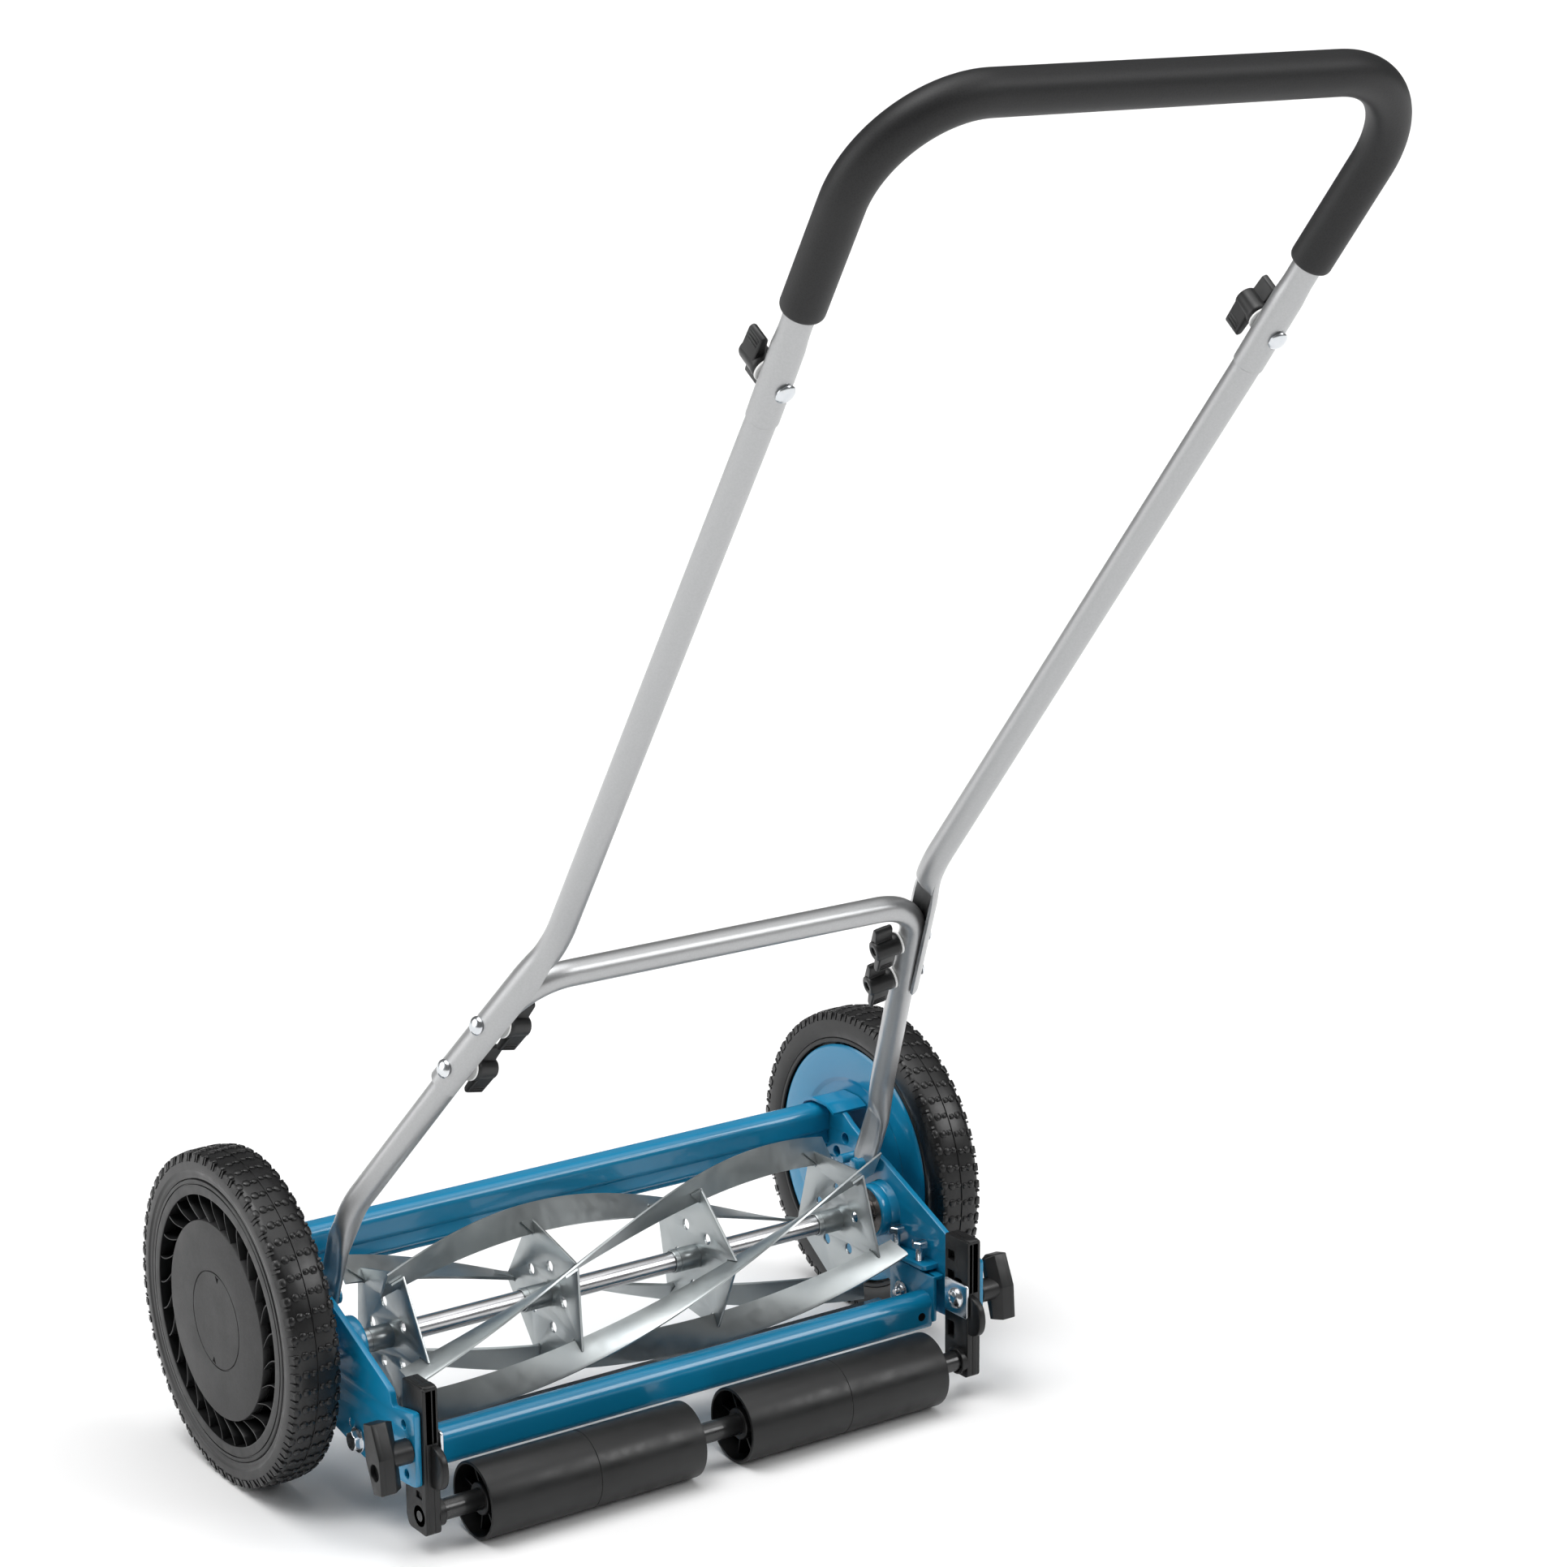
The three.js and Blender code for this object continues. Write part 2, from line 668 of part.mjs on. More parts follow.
function bedBar() {
  const line = [
    [-106, 41.5],
    [-147, 41.5],
    [-151, 45],
    [-151.5, 60],
    [-149.5, 65.5],
    [-144.5, 68],
    [-139, 67],
    [-137, 63],
    [-136.5, 54],
  ];
  const ends = new THREE.Shape();
  ends.moveTo(-154, 47);
  ends.lineTo(-98, 47);
  ends.lineTo(-98, BED_END_TOP - 6);
  ends.quadraticCurveTo(-98, BED_END_TOP, -104, BED_END_TOP);
  ends.lineTo(-154, BED_END_TOP);
  const pieces = [];
  for (const sign of [1, -1]) {
    const [low, high] = [sign * BED_END_IN, sign * BED_END_OUT].sort((a, b) => a - b);
    pieces.push(plate(ends, low, high));
    const [from, to] = [sign * BED_END_IN, sign * (PLATE_IN - 1.2)].sort((a, b) => a - b);
    pieces.push(box([from, -154, BED_END_TOP - 3], [to, -96, BED_END_TOP]));
  }
  const channel = plate(sheetOutline(line, 3), -BED_END_IN - 1, BED_END_IN + 1);
  const pivots = [-233.5, 233.5].map((x) => rod(4.3, x - 6, x + 6, BED_PIVOT.y, BED_PIVOT.z));
  const rivetHoles = RIVETS.map((x) =>
    new THREE.CylinderGeometry(3.4, 3.4, 12, 8).rotateX(Math.PI / 2).translate(x, RIVET_Y, 41.5),
  );
  return cut(joined(channel, ...pieces), ...pivots, ...rivetHoles);
}

function bedKnife() {
  const { front, back, low, high, half } = KNIFE;
  const corners = [[back, low], [front + 4, low], [front, high - 1.2], [front, high], [back, high]];
  const outline = shapeOf(corners);
  const rivets = RIVETS.flatMap((x) => [
    new THREE.CylinderGeometry(3, 3, 6, 8).rotateX(Math.PI / 2).translate(x, RIVET_Y, 41.5),
    new THREE.CylinderGeometry(5.5, 4, 2, 8).rotateX(Math.PI / 2).translate(x, RIVET_Y, 38.6),
  ]);
  return joined(plate(outline, -half, half), ...rivets);
}

function chassisPieces(side) {
  return [
    mesh(`side_plate_${side}`, sidePlate(), "blue"),
    mesh(`reel_bearing_${side}`, reelBearing(), "steel"),
    placed(mesh(`bed_pivot_bolt_${side}`, bedPivotBolt(), "zinc"), 0, BED_PIVOT.y, BED_PIVOT.z),
    ...ADJUSTERS.map(({ place, y, head }) =>
      placed(mesh(`adjuster_${place}_${side}`, adjuster(head), "zinc"), ADJUSTER_X, y, 0),
    ),
  ];
}

// ---------------------------------------------------------------- roller

function rollerShell() {
  const [near, far] = ROLLER_ENDS;
  const middle = (near + far) / 2;
  const bore = SHAFT_RADIUS + GAP;
  const shell = 2.6;
  const profile = [
    [bore, near + 4],
    [12, near + 4],
    [12, middle - 1.5],
    [ROLLER_RADIUS - shell, middle - 1.5],
    [ROLLER_RADIUS - shell, near],
    [ROLLER_RADIUS, near],
    [ROLLER_RADIUS, far],
    [ROLLER_RADIUS - shell, far],
    [ROLLER_RADIUS - shell, middle + 1.5],
    [12, middle + 1.5],
    [12, far - 4],
    [bore, far - 4],
  ];
  const ribs = [];
  const ribCount = 5;
  for (let index = 0; index < ribCount; index += 1) {
    for (const [from, to] of [[near + 7, near + 30], [far - 30, far - 7]]) {
      const rib = box([from, -0.8, 11], [to, 0.8, ROLLER_RADIUS - shell / 2]);
      ribs.push(rib.rotateX((2 * Math.PI * index) / ribCount));
    }
  }
  return joined(turned(profile, 20), ...ribs);
}

function rollerBracket() {
  const [rear, front] = BRACKET_Y;
  const body = new THREE.Shape();
  body.moveTo(rear, ROLLER_RADIUS);
  body.quadraticCurveTo(rear, 16, -190, 15.8);
  body.quadraticCurveTo(front - 2, 16, front, ROLLER_RADIUS + 4);
  body.lineTo(front, 124);
  body.lineTo(front - 3, 127);
  body.lineTo(rear + 3, 127);
  body.lineTo(rear, 124);
  const ear = new THREE.Shape();
  ear.moveTo(rear + 2, 52);
  ear.quadraticCurveTo(rear - 15, 52, rear - 15, 67);
  ear.quadraticCurveTo(rear - 15, 82, rear + 2, 84);
  const slotReach = 4.4 + HEIGHT_TRAVEL;
  const pocket = (z, half) => box([BRACKET_IN - 1, -182.8, z - half], [BRACKET_IN + 5, -174.2, z + half]);
  const tools = [
    rod(SHAFT_RADIUS + GAP, 215, BRACKET_OUT + 1.4, ROLLER_Y, ROLLER_RADIUS),
    rod(3.2, BRACKET_OUT, 252, ROLLER_Y, ROLLER_RADIUS, 16),
    box([225, CLAMP.y - 4.4, CLAMP.z - slotReach], [252, CLAMP.y + 4.4, CLAMP.z + slotReach]),
    pocket(110.6, 3.8),
    pocket(94, 3.8),
    pocket(50, 6),
  ];
  const solid = joined(
    plate(body, BRACKET_IN, BRACKET_OUT),
    plate(ear, BRACKET_IN + 0.5, BRACKET_IN + 6.5),
    rod(12.6, BRACKET_OUT - 1, PLATE_OUT - 1, ROLLER_Y, ROLLER_RADIUS),
    rod(12.6, 219, BRACKET_IN + 1, ROLLER_Y, ROLLER_RADIUS),
  );
  return cut(solid, ...tools);
}

function clampBolt() {
  const face = BRACKET_IN - GAP;
  const washer = box([face - 2.4, -14, -13.6], [face, 14, 13.6]);
  const dome = [
    [0, face - 7],
    [3.5, face - 6.6],
    [7, face - 5],
    [8.2, face - 2],
    [0, face - 2],
  ];
  return joined(washer, turned(dome, ROD_SEGMENTS), rod(4, face - 1, 262, 0, 0, 12));
}

function clampKnob() {
  const stem = rod(9, PLATE_OUT + GAP, 263);
  const outline = shapeOf([
    [-9.5, -18],
    [-5, -25],
    [5, -25],
    [9.5, -18],
    [9.5, 18],
    [5, 25],
    [-5, 25],
    [-9.5, 18],
  ]);
  const bar = plate(outline, 262, 276);
  const screwHole = rod(4.4, 240, 264, 0, 0, 12);
  const recess = rod(5.5, 270, 280, 0, 0, 12);
  return cut(joined(bar, stem), screwHole, recess);
}

function rollerPieces(side) {
  const knob = placed(mesh(`clamp_knob_${side}`, clampKnob(), "black"), 0, CLAMP.y, CLAMP.z);
  knob.rotation.x = radians(-14);
  return [
    placed(mesh(`roller_${side}`, rollerShell(), "black"), 0, ROLLER_Y, ROLLER_RADIUS),
    mesh(`roller_bracket_${side}`, rollerBracket(), "black"),
    placed(mesh(`clamp_bolt_${side}`, clampBolt(), "zinc"), 0, CLAMP.y, CLAMP.z),
    knob,
  ];
}

// ---------------------------------------------------------------- handle

const TUBE_SIDES = 10;
const mirrored = (point) => new THREE.Vector3(-point.x, point.y, point.z);
const X_AXIS = new THREE.Vector3(1, 0, 0);

// The direction square to a line that lies nearest to another direction.
function squareTo(line, nearest) {
  return nearest.clone().addScaledVector(line, -nearest.dot(line)).normalize();
}

const LEG = LEG_CORNER.clone().sub(LEG_BEND).normalize(); // up the lower handle's leg
const LEG_OUT = squareTo(LEG, X_AXIS); // along the lower bolts, outwards
const MIDDLE = UPPER_BOLT.clone().sub(MIDDLE_BEND).normalize(); // up the middle tube
const UPPER = GRIP_CORNER.clone().sub(UPPER_BOLT).normalize(); // up the upper handle
const UPPER_FRONT = squareTo(MIDDLE, new THREE.Vector3(0, 1, 0)); // along the upper bolts, to the knob
const WALL_HOLE = 3.3;
const LEG_CORNER_RADIUS = 48;
const GRIP_CORNER_RADIUS = 69;
const LEG_BEND_RADIUS = 60;
const MIDDLE_BEND_RADIUS = 120;
const LOWER_GUTTER = [105, 26]; // how far the gutter reaches below and above the lower handle's corner
const UPPER_GUTTER = [29, 36]; // how far the gutter reaches below and above the upper bolt

const alongLine = (start, direction, distance) => start.clone().addScaledVector(direction, distance);

// A half shell that wraps the side of a tube that faces `outward`.
function gutter(end, start, line, outward, length) {
  const inner = TUBE_RADIUS + 2 * GAP;
  const outer = inner + GUTTER_THICKNESS[end];
  const reach = radians(GUTTER_REACH[end]);
  const shape = new THREE.Shape();
  shape.absarc(0, 0, outer, -reach, reach, false);
  shape.absarc(0, 0, inner, reach, -reach, true);
  const options = { depth: length, bevelEnabled: false, curveSegments: 3 };
  const basis = new THREE.Matrix4().makeBasis(outward, line.clone().cross(outward), line);
  return new THREE.ExtrudeGeometry(shape, options).applyMatrix4(basis.setPosition(start));
}

function straightPipe(from, to, radius, sides = TUBE_SIDES) {
  return pipe(new BentPath([from, to], []), radius, sides);
}

// A round hole square through a tube at a bolt.
function boltHole(place, axis) {
  return straightPipe(alongLine(place, axis, -20), alongLine(place, axis, 20), WALL_HOLE, 8);
}

function spade() {
  const half = SPADE_HALF_WIDTH;
  const across = new THREE.Vector2(LEG_LINE.y, -LEG_LINE.x);
  const at = (along, aside) => [
    HANDLE_PIVOT.y + LEG_LINE.x * along + across.x * aside,
    HANDLE_PIVOT.z + LEG_LINE.y * along + across.y * aside,
  ];
  const outline = [at(62, -9), at(45, -half), at(0, -half)];
  const endSteps = 8;
  for (let step = 1; step < endSteps; step += 1) {
    const angle = (Math.PI * step) / endSteps;
    outline.push(at(-half * Math.sin(angle), -half * Math.cos(angle)));
  }
  outline.push(at(0, half), at(45, half), at(62, 9));
  const shape = shapeOf(outline);
  const slot = new THREE.Path().absarc(HANDLE_PIVOT.y, HANDLE_PIVOT.z, 5.4, 0, 2 * Math.PI, true);
  shape.holes.push(slot);
  return plate(shape, SPADE_X - SPADE_THICKNESS / 2, SPADE_X + SPADE_THICKNESS / 2);
}

function lowerHandle() {
  const legStart = new THREE.Vector3(
    SPADE_X,
    HANDLE_PIVOT.y + LEG_LINE.x * 44,
    HANDLE_PIVOT.z + LEG_LINE.y * 44,
  );
  const boreStart = alongLine(legStart, LEG_BEND.clone().sub(legStart).normalize(), 12);
  const corners = [LEG_BEND, LEG_CORNER];
  const radii = [LEG_BEND_RADIUS, LEG_CORNER_RADIUS];
  const around = (start) =>
    new BentPath(
      [start, ...corners, ...corners.map(mirrored).reverse(), mirrored(start)],
      [...radii, ...radii.slice().reverse()],
    );
  const spades = spade();
  const otherSpade = spades.clone().translate(-2 * SPADE_X, 0, 0);
  const tube = joined(pipe(around(legStart), TUBE_RADIUS, TUBE_SIDES), spades, otherSpade);
  const holes = LOWER_BOLTS.flatMap((distance) => {
    const place = alongLine(LEG_CORNER, LEG, -distance);
    return [boltHole(place, LEG_OUT), boltHole(mirrored(place), mirrored(LEG_OUT))];
  });
  return cut(tube, pipe(around(boreStart), TUBE_BORE, TUBE_SIDES), ...holes);
}

function middleTube() {
  const shift = (point) => alongLine(point, LEG_OUT, GUTTER_OFFSET.lower);
  const start = shift(alongLine(LEG_CORNER, LEG, 12));
  const top = alongLine(UPPER_BOLT, MIDDLE, 22);
  const path = (from) => new BentPath([from, shift(MIDDLE_BEND), top], [MIDDLE_BEND_RADIUS], 8);
  const foot = alongLine(LEG_CORNER, LEG, -LOWER_GUTTER[0]);
  const wrap = gutter("lower", foot, LEG, LEG_OUT, LOWER_GUTTER[0] + LOWER_GUTTER[1]);
  const outside = joined(pipe(path(start), TUBE_RADIUS, TUBE_SIDES), wrap);
  const above = alongLine(top, MIDDLE, 2);
  const below = alongLine(start, LEG, -2);
  const hollow = new BentPath([below, shift(MIDDLE_BEND), above], [MIDDLE_BEND_RADIUS], 8);
  const bore = pipe(hollow, TUBE_BORE, TUBE_SIDES);
  const holes = [boltHole(UPPER_BOLT, UPPER_FRONT)];
  for (const distance of LOWER_BOLTS) {
    holes.push(boltHole(alongLine(LEG_CORNER, LEG, -distance), LEG_OUT));
  }
  return cut(outside, bore, ...holes);
}

const UPPER_BACK = UPPER_FRONT.clone().negate();
const UPPER_JOINT = alongLine(alongLine(UPPER_BOLT, UPPER, 46), UPPER_FRONT, 1);
const UPPER_LEG = GRIP_CORNER.clone().sub(UPPER_JOINT).normalize();
const GRIP_START = alongLine(UPPER_JOINT, UPPER_LEG, 8);

function gripPath(start) {
  const corners = [start, GRIP_CORNER, mirrored(GRIP_CORNER), mirrored(start)];
  return new BentPath(corners, [GRIP_CORNER_RADIUS, GRIP_CORNER_RADIUS]);
}

function upperHandle() {
  const start = alongLine(alongLine(UPPER_BOLT, MIDDLE, 24), UPPER_BACK, GUTTER_OFFSET.upper);
  const path = (from) => {
    const corners = [from, UPPER_JOINT, GRIP_CORNER];
    const others = corners.map(mirrored).reverse();
    return new BentPath([...corners, ...others], [150, GRIP_CORNER_RADIUS, GRIP_CORNER_RADIUS, 150]);
  };
  const foot = alongLine(UPPER_BOLT, MIDDLE, -UPPER_GUTTER[0]);
  const length = UPPER_GUTTER[0] + UPPER_GUTTER[1];
  const wrap = gutter("upper", foot, MIDDLE, UPPER_BACK, length);
  const otherWrap = gutter("upper", mirrored(foot), mirrored(MIDDLE), mirrored(UPPER_BACK), length);
  const outside = joined(pipe(path(start), TUBE_RADIUS, TUBE_SIDES), wrap, otherWrap);
  const below = alongLine(start, MIDDLE, -2);
  const holes = [boltHole(UPPER_BOLT, UPPER_FRONT), boltHole(mirrored(UPPER_BOLT), mirrored(UPPER_FRONT))];
  return cut(outside, pipe(path(below), TUBE_BORE, TUBE_SIDES), ...holes);
}

function foamGrip() {
  const room = (TUBE_RADIUS + 2 * GAP) / Math.cos(Math.PI / TUBE_SIDES);
  const sleeve = pipe(gripPath(GRIP_START), FOAM_RADIUS, TUBE_SIDES);
  const hollow = pipe(gripPath(alongLine(GRIP_START, UPPER_LEG, -3)), room, TUBE_SIDES);
  return cut(sleeve, hollow);
}

const KNOB_HEIGHT = 20;
const WING_FOOT = 4.5;
const WING_DEPTH = 14;

// A dome-headed bolt: the head's underside is at z = 0 and the shank runs along -Z.
function handleBolt(length) {
  const outline = [
    [0, -length],
    [2.9, -length],
    [2.9, 0],
    [6.6, 0],
    [6, 1.6],
    [3.6, 3],
    [0, 3.4],
  ].map(([radius, z]) => new THREE.Vector2(radius, z));
  return new THREE.LatheGeometry(outline, 12).rotateX(Math.PI / 2);
}

// A wing nut: its seat is at z = 0, it stands along +Z and its two wings lie along X, one to each
// side of the axis.
function wingKnob() {
  const hub = new THREE.CylinderGeometry(8.2, 8.6, KNOB_HEIGHT, 10).rotateX(Math.PI / 2);
  hub.translate(0, 0, KNOB_HEIGHT / 2);
  const wing = [
    [-2, 8],
    [10, 7.4],
    [18, 7],
    [20, 4.6],
    [18.4, 1.6],
    [8, 0.6],
  ];
  const outline = [...wing, ...wing.map(([x, y]) => [-x, -y])];
  const wings = new THREE.ExtrudeGeometry(shapeOf(outline), { depth: WING_DEPTH, bevelEnabled: false });
  wings.translate(0, 0, WING_FOOT);
  const bore = new THREE.CylinderGeometry(3.2, 3.2, 3 * KNOB_HEIGHT, 8).rotateX(Math.PI / 2);
  return cut(joined(hub, wings), bore);
}

// A bolt and its wing nut through a joint of the handle: `outer` and `inner` are the distances from
// the tube's axis to the head's underside and to the nut's seat, and the wings lie along `line`.
function fastening(name, side, place, axis, line, outer, inner) {
  const bolt = mesh(`${name}_bolt_${side}`, handleBolt(outer + inner + 13), "zinc");
  bolt.position.copy(alongLine(place, axis, outer));
  bolt.quaternion.setFromUnitVectors(new THREE.Vector3(0, 0, 1), axis);
  const knob = mesh(`${name}_knob_${side}`, wingKnob(), "black");
  knob.position.copy(alongLine(place, axis, -inner));
  const out = axis.clone().negate();
  knob.quaternion.setFromRotationMatrix(new THREE.Matrix4().makeBasis(line, out.clone().cross(line), out));
  return [bolt, knob];
}

function handlePieces(side) {
  const shell = (end) => TUBE_RADIUS + GUTTER_THICKNESS[end] + 3 * GAP;
  const seat = TUBE_RADIUS + 1.8;
  const lower = LOWER_BOLTS.flatMap((distance, index) => {
    const place = alongLine(LEG_CORNER, LEG, -distance);
    const name = `leg_${index ? "low" : "high"}`;
    return fastening(name, side, place, LEG_OUT, LEG, shell("lower"), seat);
  });
  return [
    mesh(`middle_tube_${side}`, middleTube(), "silver"),
    ...lower,
    ...fastening("grip", side, UPPER_BOLT, UPPER_BACK, MIDDLE, shell("upper"), seat),
  ];
}

// ---------------------------------------------------------------- the mower

const layout = new THREE.Group();
layout.add(...onBothSides(wheelPieces));
layout.add(...onBothSides(chassisPieces));
layout.add(...onBothSides(rollerPieces));
layout.add(...onBothSides(handlePieces));
layout.add(reelPieces());
layout.add(mesh("crossbar", crossbar(), "blue"));
layout.add(mesh("bed_knife", bedKnife(), "steel"));
const bar = mesh("bed_bar", bedBar(), "blue");
layout.add(bar);
const rollerShaft = rod(SHAFT_RADIUS, -BRACKET_OUT - 1, BRACKET_OUT + 1);
layout.add(placed(mesh("roller_shaft", rollerShaft, "black"), 0, ROLLER_Y, ROLLER_RADIUS));
layout.add(mesh("lower_handle", lowerHandle(), "silver"));
layout.add(mesh("upper_handle", upperHandle(), "silver"));
layout.add(mesh("foam_grip", foamGrip(), "foam"));

const bounds = new THREE.Box3().setFromObject(layout, true);
const middle = bounds.getCenter(new THREE.Vector3());
layout.position.set(-middle.x, -middle.y, -bounds.min.z);

const mower = new THREE.Group();
mower.add(layout);
export default mower;
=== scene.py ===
"""Looks of a push reel mower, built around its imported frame.

Shapes are laid out in millimetres from the point on the ground midway below the wheel axles, with +X to the
operator's right, +Y the mowing direction and +Z up, and are brought into the row frame, in metres, by row().
"""

import math

import bmesh
import bpy
import numpy as np
from mathutils import Matrix, Vector


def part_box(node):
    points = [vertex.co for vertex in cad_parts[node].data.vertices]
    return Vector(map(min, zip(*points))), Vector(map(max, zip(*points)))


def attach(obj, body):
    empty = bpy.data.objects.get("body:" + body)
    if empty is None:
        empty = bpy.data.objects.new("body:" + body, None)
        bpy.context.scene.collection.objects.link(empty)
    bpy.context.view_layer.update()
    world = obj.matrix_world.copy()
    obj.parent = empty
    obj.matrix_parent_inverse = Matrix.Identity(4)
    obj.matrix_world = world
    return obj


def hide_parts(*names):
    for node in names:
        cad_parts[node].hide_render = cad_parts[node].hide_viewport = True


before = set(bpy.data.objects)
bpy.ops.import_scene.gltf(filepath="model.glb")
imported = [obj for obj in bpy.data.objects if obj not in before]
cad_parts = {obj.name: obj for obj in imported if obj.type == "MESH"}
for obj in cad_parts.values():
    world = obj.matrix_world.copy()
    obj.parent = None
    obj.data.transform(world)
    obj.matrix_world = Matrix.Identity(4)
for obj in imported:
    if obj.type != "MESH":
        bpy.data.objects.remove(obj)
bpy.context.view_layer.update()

MM = 0.001
TYRE_LOW, TYRE_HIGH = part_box("tyre_left")
AXLE_Y = (TYRE_LOW.y + TYRE_HIGH.y) / 2 / MM

GAP = 0.3
WHEEL_R = 125
WHEEL_X = 283
CAP_R = 74.3
VENT_OUTER = 93.1
RIM_R = 102.7
DRUM_R = 99
REEL_Y, REEL_Z, REEL_R = -74, 114.5, 69
REEL_HALF = 217
BLADE_WIDTH = 23
BLADE_PHASE = 28.1
BLADE_TWIST = -0.3314
SHAFT_R = 7.8
SPIDERS = (-199, -66.3, 66.3, 199)
PLATE_IN, PLATE_OUT = 243, 248
BED_PIVOT = (-114, 60)
BED_END = (232, 235)
BED_TOP = 84
ADJUSTER_X = 236.2
ADJUSTERS = {"rear": (-131, 101), "front": (-101, 104)}
LEDGE = (86.5, 90.5)
ROLLER_R, ROLLER_Y = 28.6, -190
ROLLER_ENDS = (19.9, 199.9)
BRACKET_IN, BRACKET_OUT = 230.7, 242.7
CLAMP = (-188, 79)
TUBE_R = 9.5
FOAM_R = 13.8
HANDLE_PIVOT = (-54, 146)
SPADE_X = 238
LEG_BEND = np.array([231.5, -88.7, 226.5])
LEG_CORNER = np.array([165.8, -221.9, 413.0])
MIDDLE_BEND = np.array([153.7, -248.8, 444.9])
UPPER_BOLT = np.array([187.6, -561.4, 862.5])
GRIP_CORNER = np.array([201.3, -682.851, 1029.0])
SIDES = {"right": 1, "left": -1}
# light: an even sky, soft boxes (towards, spread, edge, strength) and soft suns (name, towards, power, spread)
SKY = 0.16
SOFT_BOXES = (
    ((0, 0, 1), 16, 22, 2.0),
    ((-0.82, 0.5, 0.32), 15, 12, 2.6),
    ((0.55, -0.64, 0.55), 8, 7, 6.0),
)
SUNS = (
    ("key", (-0.35, 0.1, 1.0), 1.3, 35),
    ("fill", (0.5, -0.5, 1.0), 0.35, 40),
)

# ---------------------------------------------------------------- mesh building


def row(points):
    """Layout millimetres to row-frame metres."""
    points = np.asarray(points, float).reshape(-1, 3) * MM
    points[:, 1] += AXLE_Y * MM
    return points


def unit(v):
    v = np.asarray(v, float)
    return v / np.linalg.norm(v)


def mirror(points):
    return np.asarray(points, float) * (-1, 1, 1)


def merge(*solids):
    """Several (points, faces) solids as one."""
    points, faces, count = [], [], 0
    for p, f in solids:
        points.append(np.asarray(p, float).reshape(-1, 3))
        faces += [tuple(i + count for i in face) for face in f]
        count += len(points[-1])
    return np.vstack(points), faces


def moved(solid, matrix):
    points, faces = solid
    matrix = np.asarray(matrix, float)
    return points @ matrix[:3, :3].T + matrix[:3, 3], faces


def lathe(profile, segments=96, y=0.0, z=0.0, ring=False):
    """A profile of (radius, x) turned about the X axis through (y, z). A ring's profile closes on itself."""
    profile = np.asarray(profile, float)
    turn = np.arange(segments) * 2 * math.pi / segments
    points = np.empty((len(profile), segments, 3))
    points[..., 0] = profile[:, 1, None]
    points[..., 1] = y + profile[:, 0, None] * np.cos(turn)
    points[..., 2] = z + profile[:, 0, None] * np.sin(turn)
    faces = []
    for i in range(len(profile) - (0 if ring else 1)):
        j = (i + 1) % len(profile)
        for k in range(segments):
            n = (k + 1) % segments
            faces.append((i * segments + k, i * segments + n, j * segments + n, j * segments + k))
    return points.reshape(-1, 3), faces


def loft(rings, closed=False, caps=True):
    """Rings of equal numbers of points joined in order."""
    rings = np.asarray(rings, float)
    count, size = rings.shape[:2]
    faces = []
    for i in range(count - (0 if closed else 1)):
        j = (i + 1) % count
        for k in range(size):
            n = (k + 1) % size
            faces.append((i * size + k, i * size + n, j * size + n, j * size + k))
    if caps and not closed:
        faces.append(tuple(range(size))[::-1])
        faces.append(tuple((count - 1) * size + k for k in range(size)))
    return rings.reshape(-1, 3), faces


def prism(outline, x0, x1):
    """An outline in (y, z) carried along X."""
    outline = np.asarray(outline, float)
    ends = [np.column_stack([np.full(len(outline), x), outline]) for x in (x0, x1)]
    return loft(ends)


def box(low, high):
    low, high = np.asarray(low, float), np.asarray(high, float)
    outline = [(low[1], low[2]), (high[1], low[2]), (high[1], high[2]), (low[1], high[2])]
    return prism(outline, low[0], high[0])


def circle(radius, y=0.0, z=0.0, count=48):
    turn = np.arange(count) * 2 * math.pi / count
    return np.column_stack([y + radius * np.cos(turn), z + radius * np.sin(turn)])


def rounded(corners, radii, steps=8):
    """A closed outline with each corner rounded to its radius."""
    corners = [np.asarray(c, float) for c in corners]
    if np.isscalar(radii):
        radii = [radii] * len(corners)
    outline = []
    for i, here in enumerate(corners):
        before, after, radius = corners[i - 1], corners[(i + 1) % len(corners)], radii[i]
        if radius <= 0:
            outline.append(here)
            continue
        into, out = unit(here - before), unit(after - here)
        turn = math.acos(np.clip(into @ out, -1, 1))
        reach = radius * math.tan(turn / 2)
        room = 0.49 * min(np.linalg.norm(here - before), np.linalg.norm(after - here))
        if reach > room:
            radius *= room / reach
            reach = room
        start = here - into * reach
        inward = unit(out - into * (into @ out)) if turn > 1e-4 else np.zeros(2)
        for step in range(steps + 1):
            angle = turn * step / steps
            outline.append(start + into * radius * math.sin(angle) + inward * radius * (1 - math.cos(angle)))
    return np.array(outline)


